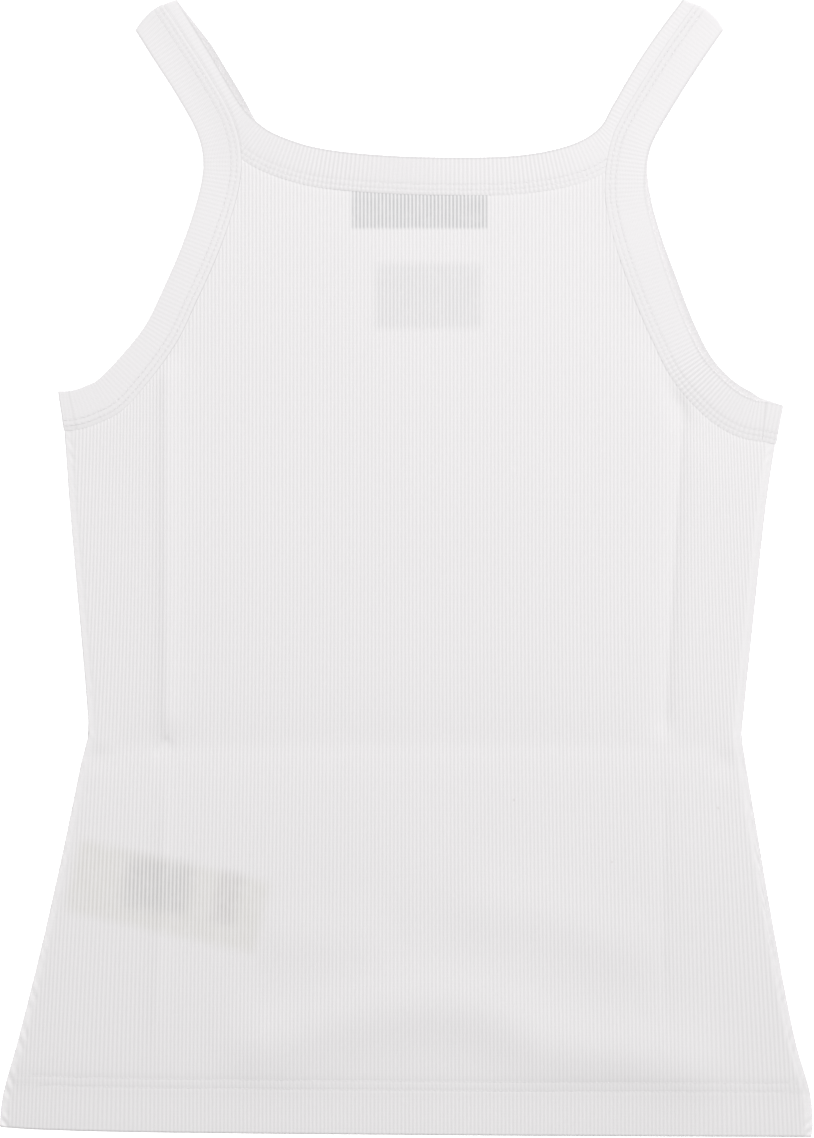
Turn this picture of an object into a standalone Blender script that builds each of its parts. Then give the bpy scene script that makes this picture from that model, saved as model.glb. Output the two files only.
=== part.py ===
"""A women's tank top in white 1x1 rib jersey, lying flat on its front, its back up.

The garment is two panels that lie on each other, sewn at the sides, with the neck and both
armholes bound by strips that run on as the shoulder straps and fold over at their tops.
Sizes are in millimetres: x from the centre line, height from the lowest point of the hem and
level from the surface that the garment lies on. to_frame turns them into metres.
"""

import math

import bmesh
import bpy
import numpy as np

MM = 0.001

# Driving sizes
BODY_LENGTH = 580.0  # lowest point of the hem to the tops of the straps
CLOTH = 1.0  # one layer of rib jersey
SEAM_GAP = 0.3  # between pieces that are sewn together
RIB_PITCH = 1.94
RIB_RISE = 0.45  # a rib's ridge above the furrow beside it
FRONT_SIDE_LEVEL = 1.7  # top of the front where its seam allowance and hem are doubled
BACK_LEVEL = FRONT_SIDE_LEVEL + SEAM_GAP  # inner face of the back
BACK_FURROW = BACK_LEVEL + CLOTH
BINDING_FURROW = BACK_FURROW + 0.6  # the bindings stand proud of the panels
NECK_BINDING_WIDTH = 17.5
BINDING_RIB_PITCH = 2.2  # the strips are sewn on slightly stretched
NECK_TIP_REACH = 1.0  # further over a strap's top beside the armhole strip
SEAM_ALLOWANCE = 9.0
HEM_DEPTH = 25.0
HEM_RISE = 0.5  # the turned-up cloth lifts the hem
LABEL_THICKNESS = 0.4
CURVE_STEP = 3.6  # between the points of a panel's edges across the ribs, under two ribs
LOWER_STEP = 9.0  # between the sections of a binding under the garment
RIBS_A_BLOCK = 2  # ribs of a binding on one plain stretch of its inner face
FOLD_STEPS = 6
WELD_DISTANCE = 0.1

# The side seams, at both sides of the centre line.
SIDE_SEAMS = {
    "columns": ("height", "left", "right"),
    "rows": (
        (359.0, -174.4, 189.0),
        (320.0, -171.6, 183.2),
        (256.0, -166.0, 176.2),
        (218.0, -162.8, 172.3),
        (205.0, -162.6, 171.2),
        (190.0, -166.2, 173.3),
        (154.0, -173.6, 179.3),
        (103.0, -184.9, 188.0),
        (52.0, -197.6, 197.8),
        (24.0, -205.4, 205.7),
        (9.0, -207.3, 207.3),
    ),
}
HEM = {
    "columns": ("x", "height"),
    "rows": ((-206.6, 5.0), (-183.0, 3.6), (-120.0, 2.2), (46.0, 0.7), (206.9, 0.0)),
}
# Free edges, from the side seam to the fold at the strap's top. Lean turns a strip's section
# from square to its edge, in degrees.
ARMHOLE_LEFT = {
    "columns": ("x", "height", "width", "lean"),
    "rows": (
        (-178.6, 379.6, 19.3, 7.0),
        (-171.5, 380.4, 19.0, 3.0),
        (-164.0, 383.0, 18.4, 0.0),
        (-154.3, 388.5, 18.0, 0.0),
        (-134.4, 411.2, 18.0, 0.0),
        (-123.7, 433.1, 18.0, 0.0),
        (-113.5, 457.6, 18.0, 0.0),
        (-105.4, 481.0, 18.3, 0.0),
        (-103.5, 497.4, 18.6, 0.0),
        (-106.8, 512.7, 18.6, 0.0),
        (-117.0, 531.0, 18.6, 0.0),
        (-128.8, 549.4, 18.6, 0.0),
        (-137.6, 563.4, 18.9, 12.0),
    ),
}
ARMHOLE_RIGHT = {
    "columns": ("x", "height", "width", "lean"),
    "rows": (
        (192.0, 372.9, 19.3, 4.0),
        (184.8, 374.6, 19.0, 2.0),
        (176.2, 376.4, 18.6, 0.0),
        (166.0, 382.6, 18.2, 0.0),
        (152.8, 395.9, 18.0, 0.0),
        (144.1, 411.7, 18.0, 0.0),
        (135.5, 433.1, 18.0, 0.0),
        (127.0, 457.6, 17.8, 0.0),
        (120.9, 480.0, 17.0, 0.0),
        (120.4, 498.4, 16.5, 0.0),
        (125.3, 512.7, 16.4, 0.0),
        (141.0, 537.2, 17.2, 0.0),
        (150.8, 551.4, 17.8, 0.0),
        (159.6, 563.4, 18.4, 8.0),
    ),
}
# Free edges of the neck, from the left strap's top to the right one's.
NECK_BACK = {
    "columns": ("x", "height"),
    "rows": (
        (-115.9, 578.5),
        (-100.7, 554.0),
        (-85.9, 529.0),
        (-77.2, 518.8),
        (-65.6, 511.2),
        (-44.1, 504.5),
        (-12.0, 500.9),
        (25.0, 499.8),
        (58.0, 500.9),
        (83.0, 506.0),
        (97.8, 514.4),
        (105.5, 527.0),
        (118.1, 548.6),
        (129.3, 565.0),
        (139.3, 578.5),
    ),
}
NECK_FRONT = {
    "columns": ("x", "height"),
    "rows": (
        (-115.9, 578.5),
        (-100.7, 554.0),
        (-85.9, 529.0),
        (-74.0, 506.0),
        (-62.0, 484.0),
        (-44.0, 461.0),
        (-18.0, 445.0),
        (12.0, 440.0),
        (42.0, 445.0),
        (68.0, 461.0),
        (86.0, 484.0),
        (97.0, 506.0),
        (106.6, 529.0),
        (118.1, 548.6),
        (129.3, 565.0),
        (139.3, 578.5),
    ),
}
STRAP_SLANT = {"left": -33.5, "right": 38.0}  # of each strap from upright, in degrees
# How far the front lies to the right of the back, on the garment's left and right halves.
FRONT_SHIFT = {
    "columns": ("height", "left", "right"),
    "rows": (
        (373.0, 0.0, 0.0),
        (379.0, 0.0, 4.5),
        (396.0, 2.5, 4.5),
        (470.0, 3.8, 3.8),
        (545.0, 3.4, 3.4),
    ),
}
FOLD_EASE = 22.0  # over this length below a strap's fold the front comes back under the back
# Rows of points over the back, with the strength of the two creases that run down it.
BACK_ROWS = {
    "columns": ("height", "crease"),
    "rows": (
        (-4.0, 0.2),
        (HEM_DEPTH - 1.0, 0.2),
        (HEM_DEPTH + 1.5, 0.3),
        (60.0, 0.4),
        (85.0, 0.5),
        (197.5, 0.9),
        (202.0, 0.7),
        (206.5, 1.0),
        (398.0, 1.0),
        (414.0, 0.0),
        (515.0, 0.0),
    ),
}
CREASE_PLACES = (-122.0, 137.5)  # the two long creases
CREASE_RISE = 0.8
CREASE_REACH = 5.0
WAIST_CREASE_HEIGHT = 202.0
WAIST_CREASE_DEPTH = 0.5
# The soft waves over the hem: the middle of each, and its half lengths across and up.
WAVES = {
    "columns": ("x", "height", "across", "up", "rise"),
    "rows": (
        (10.0, 85.0, 90.0, 16.0, 1.0),
        (120.0, 60.0, 60.0, 18.0, 0.8),
        (-110.0, 60.0, 50.0, 18.0, 0.6),
    ),
}
# Blank labels inside the back: the middle of each, its size and its turn in degrees.
LABELS = {
    "columns": ("name", "x", "height", "width", "depth", "turn"),
    "rows": (
        ("neck_label", 7.8, 471.4, 67.0, 18.5, 0.0),
        ("size_label", 11.2, 428.8, 55.0, 32.0, 0.0),
        ("care_label", -118.5, 122.5, 92.0, 34.0, -9.5),
    ),
}
MATERIALS = {
    "rib_jersey": {"colour": (0.86, 0.85, 0.855), "roughness": 0.95},
    "rib_binding": {"colour": (0.88, 0.875, 0.875), "roughness": 0.95},
    "label_tape": {"colour": (0.62, 0.62, 0.63), "roughness": 0.6},
}


def to_frame(x, height, level):
    """Millimetres on the garment to metres, with the origin under its middle."""
    across, up, level = np.broadcast_arrays(x, height, level)
    return np.stack([across, up - BODY_LENGTH / 2, level], axis=-1) * MM


def column(table, name):
    return np.array([row[table["columns"].index(name)] for row in table["rows"]])


def rows_of(table):
    return [dict(zip(table["columns"], row)) for row in table["rows"]]


def smoothed(points, steps=12):
    """A smooth curve through the points, with this many steps between each two of them."""
    points = np.asarray(points, float)
    ends = (2 * points[0] - points[1], 2 * points[-1] - points[-2])
    padded = np.vstack([ends[0], points, ends[1]])
    before, start, end, after = padded[:-3], padded[1:-2], padded[2:-1], padded[3:]
    t = np.linspace(0, 1, steps, endpoint=False)[None, :, None]
    before, start, end, after = (part[:, None] for part in (before, start, end, after))
    curve = start + t * 0.5 * (
        end - before
        + t * (2 * before - 5 * start + 4 * end - after + t * (3 * (start - end) + after - before))
    )
    return np.vstack([curve.reshape(-1, points.shape[1]), points[-1]])


def lengths_along(points):
    steps = np.linalg.norm(np.diff(points[:, :2], axis=0), axis=1)
    return np.concatenate([[0], np.cumsum(steps)])


def at_lengths(points, along, wanted):
    return np.stack([np.interp(wanted, along, part) for part in points.T], axis=1)


def tangents(points):
    slopes = np.gradient(points[:, :2], axis=0)
    return slopes / np.linalg.norm(slopes, axis=1)[:, None]


def turned(directions, degrees):
    angle = np.radians(degrees)
    x, y = directions[:, 0], directions[:, 1]
    return np.stack(
        [x * np.cos(angle) - y * np.sin(angle), x * np.sin(angle) + y * np.cos(angle)], axis=1
    )


def front_shift(path):
    """How far to the right the front's edges lie, as steps in x and height.

    A path ends on a fold, and starts on one too where it starts as high as a strap's top.
    """
    left, right = (
        np.interp(path[:, 1], column(FRONT_SHIFT, "height"), column(FRONT_SHIFT, side))
        for side in ("left", "right")
    )
    along = lengths_along(path)
    to_fold = along[-1] - along
    if path[0, 1] > path[:, 1].mean():
        to_fold = np.minimum(to_fold, along)
    shift = np.where(path[:, 0] < 0, left, right) * np.clip(to_fold / FOLD_EASE, 0, 1)
    return np.stack([shift, np.zeros(len(path))], axis=1)


def strip(table, side, front):
    """A binding laid flat: points along its free edge, the way across it and its width.

    side is 1 where the band lies to the left of the way along its free edge, and -1 where it
    lies to the right.
    """
    path = smoothed([row[:2] for row in table["rows"]])
    count = len(path)
    at_rows = np.linspace(0, count - 1, len(table["rows"]))
    if "width" in table["columns"]:
        width = np.interp(np.arange(count), at_rows, column(table, "width"))
        lean = np.interp(np.arange(count), at_rows, column(table, "lean"))
    else:
        width, lean = np.full(count, NECK_BINDING_WIDTH), np.zeros(count)
    across = turned(tangents(path), side * (90 - lean))
    if front:
        path = path + front_shift(path)
    return {"path": path, "across": across, "width": width}


def seam_edge(band, further=0.0):
    """The edge that is sewn to the panel, or a line that far beyond it."""
    return band["path"] + band["across"] * (band["width"] + further)[:, None]


def first_crossing(start, way, line):
    """How far along the way each start meets the line, or infinity where it doesn't."""
    low, step = line[:-1], np.diff(line, axis=0)
    gap = low[None] - start[:, None]
    turn = way[:, None, 0] * step[None, :, 1] - way[:, None, 1] * step[None, :, 0]
    turn = np.where(np.abs(turn) < 1e-12, np.inf, turn)
    distance = (gap[..., 0] * step[None, :, 1] - gap[..., 1] * step[None, :, 0]) / turn
    share = (gap[..., 0] * way[:, None, 1] - gap[..., 1] * way[:, None, 0]) / turn
    hit = (share >= 0) & (share <= 1) & (distance > 0)
    return np.where(hit, distance, np.inf).min(axis=1)


def run_on(line, distance=12.0):
    """The line with a straight stretch added past its last point."""
    way = line[-1] - line[-2]
    return np.vstack([line, line[-1] + way / np.linalg.norm(way) * distance])


def tucked(neck, armholes):
    """The neck strip, which ends where the armhole strips cover it on the straps."""
    width = neck["width"]
    for band in armholes:
        cover = run_on(seam_edge(band, SEAM_GAP))
        width = np.minimum(width, first_crossing(neck["path"], neck["across"], cover))
    return {**neck, "width": width}


def resampled(band, step, least=2):
    """The strip again, in equal steps along its middle line."""
    middle = band["path"] + band["across"] * band["width"][:, None] / 2
    along = lengths_along(middle)
    count = max(least, least * round(along[-1] / step / least))
    wanted = np.linspace(0, along[-1], count + 1)
    across = at_lengths(band["across"], along, wanted)
    return {
        "path": at_lengths(band["path"], along, wanted),
        "across": across / np.linalg.norm(across, axis=1)[:, None],
        "width": np.interp(wanted, along, band["width"]),
    }


def reversed_band(band):
    return {name: part[::-1] for name, part in band.items()}


def meeting(first, second):
    """The first line up to where the second crosses it, then the second from there on."""
    ways = np.diff(first, axis=0)
    reach = first_crossing(first[:-1], ways, second)
    index = int(np.argmax(reach <= 1))
    corner = first[index] + ways[index] * reach[index]
    rest = second[np.argmin(np.linalg.norm(second - corner, axis=1)) + 1 :]
    return np.vstack([first[: index + 1], corner, rest])


def thinned(line, step=CURVE_STEP):
    along = lengths_along(line)
    return at_lengths(line, along, np.linspace(0, along[-1], round(along[-1] / step) + 1))


def side_seam(name):
    """One side seam, from the underarm down to the hem."""
    return smoothed(np.stack([column(SIDE_SEAMS, name), column(SIDE_SEAMS, "height")], axis=1), 4)


def panel_outline(neck, left, right):
    """The edge of a panel, with the seams' gap to its bindings, as points all round."""
    left_edge = seam_edge(left, SEAM_GAP)
    right_edge = seam_edge(right, SEAM_GAP)[::-1]
    top = thinned(meeting(meeting(left_edge, seam_edge(neck, SEAM_GAP)), right_edge))
    left_side, right_side = side_seam("left"), side_seam("right")
    left_side = left_side[left_side[:, 1] < top[0, 1]]
    right_side = right_side[right_side[:, 1] < top[-1, 1]]
    hem = thinned(smoothed(HEM["rows"]))
    return np.vstack([top, right_side, hem[::-1], left_side[::-1]])


def wave_rise(x, height):
    """The soft waves over the hem: a round swell about each middle."""
    rise = np.zeros(np.broadcast(x, height).shape)
    for wave in rows_of(WAVES):
        away = ((x - wave["x"]) / wave["across"]) ** 2 + ((height - wave["height"]) / wave["up"]) ** 2
        rise = rise + wave["rise"] * np.exp(-away)
    return rise


def back_level(x, height, crease):
    """The outer face of the back between its ribs: folds, waves and the thicker hem."""
    away = np.min([np.abs(x - place) for place in CREASE_PLACES], axis=0)
    level = BACK_FURROW + crease * CREASE_RISE * np.clip(1 - away / CREASE_REACH, 0, 1)
    level = level + np.where(height < HEM_DEPTH, HEM_RISE, 0.0) + wave_rise(x, height)
    return level - np.where(height == WAIST_CREASE_HEIGHT, WAIST_CREASE_DEPTH, 0.0)


def new_object(name, mesh, material, collection):
    item = bpy.data.objects.new(name, mesh)
    if material:
        mesh.materials.append(material)
    collection.objects.link(item)
    return item


def mesh_from(name, points, faces):
    """A closed mesh whose faces all point outwards."""
    mesh = bpy.data.meshes.new(name)
    mesh.from_pydata(points.tolist(), [], faces)
    build = bmesh.new()
    build.from_mesh(mesh)
    bmesh.ops.recalc_face_normals(build, faces=build.faces)
    build.to_mesh(mesh)
    build.free()
    return mesh


def prism(name, outline, low, high):
    """The outline as a straight-sided block from one level to another."""
    build = bmesh.new()
    corners = [build.verts.new(point) for point in to_frame(outline[:, 0], outline[:, 1], low)]
    base = build.faces.new(corners)
    raised = bmesh.ops.extrude_face_region(build, geom=[base])["geom"]
    raised_corners = [part for part in raised if isinstance(part, bmesh.types.BMVert)]
    bmesh.ops.translate(build, verts=raised_corners, vec=(0, 0, (high - low) * MM))
    bmesh.ops.recalc_face_normals(build, faces=build.faces)
    mesh = bpy.data.meshes.new(name)
    build.to_mesh(mesh)
    build.free()
    return mesh


def ribbed_sheet(name):
    """A sheet wider than the back, ribs up and down its outer face, flat inside."""
    reach = column(SIDE_SEAMS, "right").max() + RIB_PITCH
    ridges = int(reach / RIB_PITCH)
    steps = np.arange(-2 * ridges, 2 * ridges + 1)
    x, heights, crease = steps * RIB_PITCH / 2, column(BACK_ROWS, "height"), column(BACK_ROWS, "crease")
    levels = back_level(x[None], heights[:, None], crease[:, None])
    levels = levels + np.where(steps % 2 == 0, RIB_RISE, 0.0)
    outer = to_frame(x[None], heights[:, None], levels)
    rows, columns = outer.shape[:2]
    corners = to_frame(x[[0, -1, -1, 0]], heights[[0, 0, -1, -1]], BACK_LEVEL)
    at = np.arange(rows * columns).reshape(rows, columns)
    inner = rows * columns + np.arange(4)
    quads = np.stack([at[:-1, :-1], at[:-1, 1:], at[1:, 1:], at[1:, :-1]], axis=-1).reshape(-1, 4)
    rims = [
        [inner[3], inner[2], inner[1], inner[0]],
        [*at[0, ::-1], inner[0], inner[1]],
        [*at[-1], inner[2], inner[3]],
        [*at[:, 0], inner[3], inner[0]],
        [*at[::-1, -1], inner[1], inner[2]],
    ]
    faces = quads.tolist() + [[int(corner) for corner in rim] for rim in rims]
    return mesh_from(name, np.vstack([outer.reshape(-1, 3), corners]), faces)


def cut_with(item, cutter, operation):
    cut = item.modifiers.new("cut", "BOOLEAN")
    cut.operation = operation
    cut.object = cutter
    cut.solver = "EXACT"


def hidden(cutter):
    cutter.hide_render = True
    cutter.display_type = "WIRE"
    return cutter


def back_panel(outline, material, parts, cutters):
    """The back: the ribbed sheet, cut to the panel's outline."""
    panel = new_object("back_panel", ribbed_sheet("back_panel"), material, parts)
    block = prism("back_outline", outline, BACK_LEVEL - CLOTH, BACK_FURROW + 6 * CLOTH)
    cut_with(panel, hidden(new_object("back_outline", block, None, cutters)), "INTERSECT")
    weld = panel.modifiers.new("weld", "WELD")  # joins the cut's points that nearly meet
    weld.merge_threshold = WELD_DISTANCE * MM
    even = panel.modifiers.new("even", "TRIANGULATE")  # no slivers between a wall's furrows
    even.ngon_method = "BEAUTY"


def front_panel(outline, material, parts, cutters):
    """The front, flat underneath and one layer thick inside its side seams and its hem."""
    block = prism("front_panel", outline, 0.0, FRONT_SIDE_LEVEL)
    panel = new_object("front_panel", block, material, parts)
    left, right = side_seam("left"), side_seam("right")
    above_hem = left[:, 1] > HEM_DEPTH
    inset_left = left[above_hem] + (SEAM_ALLOWANCE, 0)
    inset_right = right[above_hem] - (SEAM_ALLOWANCE, 0)
    inset_left[-1, 1] = inset_right[-1, 1] = HEM_DEPTH
    top = np.array([(inset_right[0, 0], BODY_LENGTH), (inset_left[0, 0], BODY_LENGTH)])
    inside = np.vstack([inset_left, inset_right[::-1], top])
    cutter = prism("front_inside", inside, CLOTH, FRONT_SIDE_LEVEL + CLOTH)
    cut_with(panel, hidden(new_object("front_inside", cutter, None, cutters)), "DIFFERENCE")


def sections(band, outer, inner):
    """Four corners for each station of a strip: free and seam edge, outside and inside."""
    free, seam = band["path"], seam_edge(band)
    return np.stack(
        [
            to_frame(free[:, 0], free[:, 1], outer),
            to_frame(seam[:, 0], seam[:, 1], outer),
            to_frame(seam[:, 0], seam[:, 1], inner),
            to_frame(free[:, 0], free[:, 1], inner),
        ],
        axis=1,
    )


def upper_sections(band):
    """A strip on the back, with ribs across it."""
    count = len(band["path"])
    ridge = np.where(np.arange(count) % 2 == 1, RIB_RISE, 0.0)
    return sections(band, BINDING_FURROW + ridge, BACK_LEVEL)


def lower_sections(band, inner):
    return sections(band, 0.0, inner)


def fold_sections(upper, lower, slant, seam_reach=0.0):
    """The turn over a strap's top, from the last section above to the first one below.

    It reaches further out at the strip's seam edge by seam_reach.
    """
    turns = np.linspace(0, math.pi, FOLD_STEPS + 1)[1:-1, None, None]
    middle, half = (upper + lower) / 2, (upper - lower) / 2
    way = np.array([math.sin(math.radians(slant)), math.cos(math.radians(slant)), 0.0])
    reach = np.abs(half[:, 2:3]) + np.array([[0.0], [1.0], [1.0], [0.0]]) * seam_reach * MM
    return middle + half * np.cos(turns) + way * reach * np.sin(turns)


def loft(name, stretches, closed):
    """A closed skin over sections in a row.

    Each stretch is a pair: sections, and how many of them one plain inner face passes. The
    inner corners between are left out, so that ribs are on the outer face alone.
    """
    outer_all, kept = [], []
    for rows, block in stretches:
        for index, section in enumerate(rows):
            outer_all.append(section)
            kept.append(index % block == 0 or index == len(rows) - 1)
    points, outer, inner = [], [], []
    for section, keep in zip(outer_all, kept):
        outer.append((len(points), len(points) + 1))
        points.extend(section[:2])
        inner.append((len(points), len(points) + 1) if keep else None)
        points.extend(section[2:] if keep else [])
    count = len(outer)
    stations = list(range(count)) + ([0] if closed else [])
    faces = [
        [outer[a][0], outer[a][1], outer[b][1], outer[b][0]] for a, b in zip(stations, stations[1:])
    ]
    stops = [place for place, station in enumerate(stations) if inner[station]]
    for first, last in zip(stops, stops[1:]):
        run = stations[first : last + 1]
        low, high = inner[run[0]], inner[run[-1]]
        faces.append([low[0], high[0], high[1], low[1]])
        faces.append([outer[station][0] for station in run] + [high[1], low[1]])
        faces.append([outer[station][1] for station in run] + [high[0], low[0]])
    if not closed:
        faces.extend([[*outer[end], *inner[end]] for end in (0, count - 1)])
    return mesh_from(name, np.array(points), faces)


def armhole_binding(name, above, below, slant, material, parts):
    """One strip: up the back of the armhole, over the strap's top and down the front."""
    half_rib = BINDING_RIB_PITCH / 2
    upper = upper_sections(resampled(above, half_rib, 2 * RIBS_A_BLOCK))
    lower = lower_sections(reversed_band(resampled(below, LOWER_STEP)), FRONT_SIDE_LEVEL)
    fold = fold_sections(upper[-1], lower[0], slant)
    stretches = [(upper, 2 * RIBS_A_BLOCK), (fold, 1), (lower, 1)]
    new_object(name, loft(name, stretches, closed=False), material, parts)


def neck_binding(above, below, material, parts):
    """A ring: across the back of the neck, over a strap, across the front and back over."""
    half_rib = BINDING_RIB_PITCH / 2
    upper = upper_sections(resampled(above, half_rib, 2 * RIBS_A_BLOCK))
    front = reversed_band(resampled(below, LOWER_STEP))
    height = front["path"][:, 1]
    inner = np.interp(height, (500.0, 530.0), (CLOTH, FRONT_SIDE_LEVEL))
    lower = lower_sections(front, inner)
    right = fold_sections(upper[-1], lower[0], STRAP_SLANT["right"], NECK_TIP_REACH)
    left = fold_sections(lower[-1], upper[0], STRAP_SLANT["left"], NECK_TIP_REACH)
    stretches = [(upper, 2 * RIBS_A_BLOCK), (right, 1), (lower, 1), (left, 1)]
    new_object("neck_binding", loft("neck_binding", stretches, closed=True), material, parts)


def label(row, material, parts):
    """A blank woven tape, flat between the panels."""
    corners = np.array([(-1, -1), (1, -1), (1, 1), (-1, 1)]) * (row["width"] / 2, row["depth"] / 2)
    outline = turned(corners, row["turn"]) + (row["x"], row["height"])
    high = BACK_LEVEL - SEAM_GAP
    block = prism(row["name"], outline, high - LABEL_THICKNESS, high)
    new_object(row["name"], block, material, parts)


def new_material(name, look):
    material = bpy.data.materials.new(name)
    material.use_nodes = True
    shader = material.node_tree.nodes["Principled BSDF"]
    shader.inputs["Base Color"].default_value = (*look["colour"], 1.0)
    shader.inputs["Roughness"].default_value = look["roughness"]
    shader.inputs["Metallic"].default_value = 0.0
    return material


def new_collection(name):
    collection = bpy.data.collections.new(name)
    bpy.context.scene.collection.children.link(collection)
    return collection


def main():
    for item in list(bpy.data.objects):
        bpy.data.objects.remove(item)
    parts, cutters = new_collection("tank_top"), new_collection("cutters")
    looks = {name: new_material(name, look) for name, look in MATERIALS.items()}

    layers = {}
    for layer, neck_table, front in (("back", NECK_BACK, False), ("front", NECK_FRONT, True)):
        left = strip(ARMHOLE_LEFT, -1, front)
        right = strip(ARMHOLE_RIGHT, 1, front)
        layers[layer] = {"left": left, "right": right, "neck": strip(neck_table, -1, front)}

    back, front = layers["back"], layers["front"]
    back_panel(panel_outline(**back), looks["rib_jersey"], parts, cutters)
    front_panel(panel_outline(**front), looks["rib_jersey"], parts, cutters)
    binding = looks["rib_binding"]
    tucked_necks = [tucked(layer["neck"], (layer["left"], layer["right"])) for layer in (back, front)]
    neck_binding(*tucked_necks, binding, parts)
    for side in ("left", "right"):
        name = f"armhole_binding_{side}"
        armhole_binding(name, back[side], front[side], STRAP_SLANT[side], binding, parts)
    for row in rows_of(LABELS):
        label(row, looks["label_tape"], parts)


main()
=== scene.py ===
import math

import bpy
import numpy as np
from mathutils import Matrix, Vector


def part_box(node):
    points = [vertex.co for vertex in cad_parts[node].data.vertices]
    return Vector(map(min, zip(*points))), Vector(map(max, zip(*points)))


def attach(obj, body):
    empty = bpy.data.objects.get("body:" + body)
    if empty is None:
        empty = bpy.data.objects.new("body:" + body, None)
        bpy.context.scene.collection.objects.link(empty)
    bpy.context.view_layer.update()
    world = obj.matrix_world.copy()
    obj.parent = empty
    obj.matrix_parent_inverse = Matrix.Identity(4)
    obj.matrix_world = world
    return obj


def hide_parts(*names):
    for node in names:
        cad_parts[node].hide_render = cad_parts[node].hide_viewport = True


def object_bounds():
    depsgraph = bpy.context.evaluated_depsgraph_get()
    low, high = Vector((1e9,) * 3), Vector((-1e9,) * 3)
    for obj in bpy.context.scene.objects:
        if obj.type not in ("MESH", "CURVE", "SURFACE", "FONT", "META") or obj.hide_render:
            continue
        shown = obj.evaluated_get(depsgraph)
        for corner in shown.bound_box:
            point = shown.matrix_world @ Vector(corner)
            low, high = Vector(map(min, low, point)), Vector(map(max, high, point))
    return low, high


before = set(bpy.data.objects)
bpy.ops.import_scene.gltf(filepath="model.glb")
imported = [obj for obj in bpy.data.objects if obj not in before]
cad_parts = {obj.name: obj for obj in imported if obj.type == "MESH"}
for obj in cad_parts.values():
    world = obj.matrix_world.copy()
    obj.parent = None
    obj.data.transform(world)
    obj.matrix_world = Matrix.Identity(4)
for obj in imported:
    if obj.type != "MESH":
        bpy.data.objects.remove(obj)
cadLow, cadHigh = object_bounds()
mm = 0.001

# All places are millimetres: x from the middle, height from the lowest point of the hem and
# level from the surface that the garment lies on.
garment = {
    "length": (cadHigh.y - cadLow.y) / mm,
    "backInner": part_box("back_panel")[0].z / mm,
    "frontInner": 1,
    "hemInner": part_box("front_panel")[1].z / mm,
    "waist": 205,  # height where the sides are closest
}


def toFrame(x, height, level):
    # Millimetres on the garment to metres in the frame.
    across, up, level = np.broadcast_arrays(x, height, level)
    return np.stack([across, up - garment["length"] / 2, level], axis=-1) * mm


def smoothStep(t):
    # 0 up to t = 0, 1 from t = 1, and an S curve between.
    t = np.clip(t, 0, 1)
    return t * t * (3 - 2 * t)


def bell(away, reach):
    # exp(-(away / reach)^2)
    return np.exp(-((away / reach) ** 2))


def swell(away, place, reach, rise):
    # A soft ridge or groove round its place.
    return rise * bell(away - place, reach)


def edgeRoll(away, reach):
    # A quarter circle: 0 at the edge and 1 from this distance in.
    return np.sqrt(1 - (1 - np.clip(away / reach, 0, 1)) ** 2)


def fromTable(at, rows):
    # Values from pairs of place and value, straight between the pairs and level beyond them.
    return np.interp(at, *np.array(rows).T)


def curveThrough(points, steps=12):
    # A Catmull-Rom curve through the points, with this many steps from each to the next.
    points = np.asarray(points, float)
    padded = np.vstack([2 * points[0] - points[1], points, 2 * points[-1] - points[-2]])
    before, start, end, after = (
        part[:, None] for part in (padded[:-3], padded[1:-2], padded[2:-1], padded[3:])
    )
    t = np.linspace(0, 1, steps, endpoint=False)[None, :, None]
    bend = 2 * before - 5 * start + 4 * end - after + t * (3 * (start - end) + after - before)
    curve = start + t * 0.5 * (end - before + t * bend)
    return np.vstack([curve.reshape(-1, points.shape[1]), points[-1]])


def lengthsAlong(points):
    # Each point's distance from the first, along the line.
    steps = np.linalg.norm(np.diff(points, axis=0), axis=1)
    return np.concatenate([[0], np.cumsum(steps)])


def atLengths(points, along, wanted):
    # The line's points, or other values on it, at the wanted distances.
    return np.stack([np.interp(wanted, along, part) for part in points.T], axis=1)


def unit(ways):
    # The same ways with length 1.
    return ways / np.linalg.norm(ways, axis=1)[:, None]


def turnedBy(ways, degrees):
    # Flat ways or places, turned to the left.
    angle = np.radians(degrees)
    x, y = ways[:, 0], ways[:, 1]
    return np.stack([x * np.cos(angle) - y * np.sin(angle), x * np.sin(angle) + y * np.cos(angle)], axis=1)


def ribProfile(phase):
    # Height across one rib, 1 on its ridge and 0 in its furrow: a cosine with a rounder top.
    return (0.5 + 0.5 * np.cos(2 * np.pi * phase)) ** 0.7


def fourCorners(grid):
    # The values at each face's corners, from a grid of values at its points.
    corners = np.stack([grid[:-1, :-1], grid[:-1, 1:], grid[1:, 1:], grid[1:, :-1]], axis=2)
    return corners.reshape(-1, 4, *grid.shape[2:])


def newObject(name, data):
    # A new object with this data, in the scene.
    item = bpy.data.objects.new(name, data)
    bpy.context.scene.collection.objects.link(item)
    return item


def pieceFrom(name, points, faces, places, material, node=None, flat=(), shares=None):
    # A piece from points, faces, each corner's place on the cloth and named shares at each corner,
    # with smooth faces except those whose numbers are in flat.
    mesh = bpy.data.meshes.new(name)
    mesh.from_pydata(points, [], faces)
    layer = mesh.uv_layers.new(name="clothPlace")
    layer.data.foreach_set("uv", np.asarray(places, np.float32).ravel())
    for key, values in (shares or {}).items():
        share = mesh.attributes.new(key, "FLOAT", "CORNER")
        share.data.foreach_set("value", np.asarray(values, np.float32).ravel())
    smooth = np.ones(len(mesh.polygons), bool)
    smooth[list(flat)] = False
    mesh.polygons.foreach_set("use_smooth", smooth)
    mesh.materials.append(material)
    piece = newObject(name, mesh)
    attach(piece, "root")
    if node:
        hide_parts(node)
    return piece


def newMaterial(name):
    # A new material, and its tree.
    material = bpy.data.materials.new(name)
    material.use_nodes = True
    return material, material.node_tree


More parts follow.
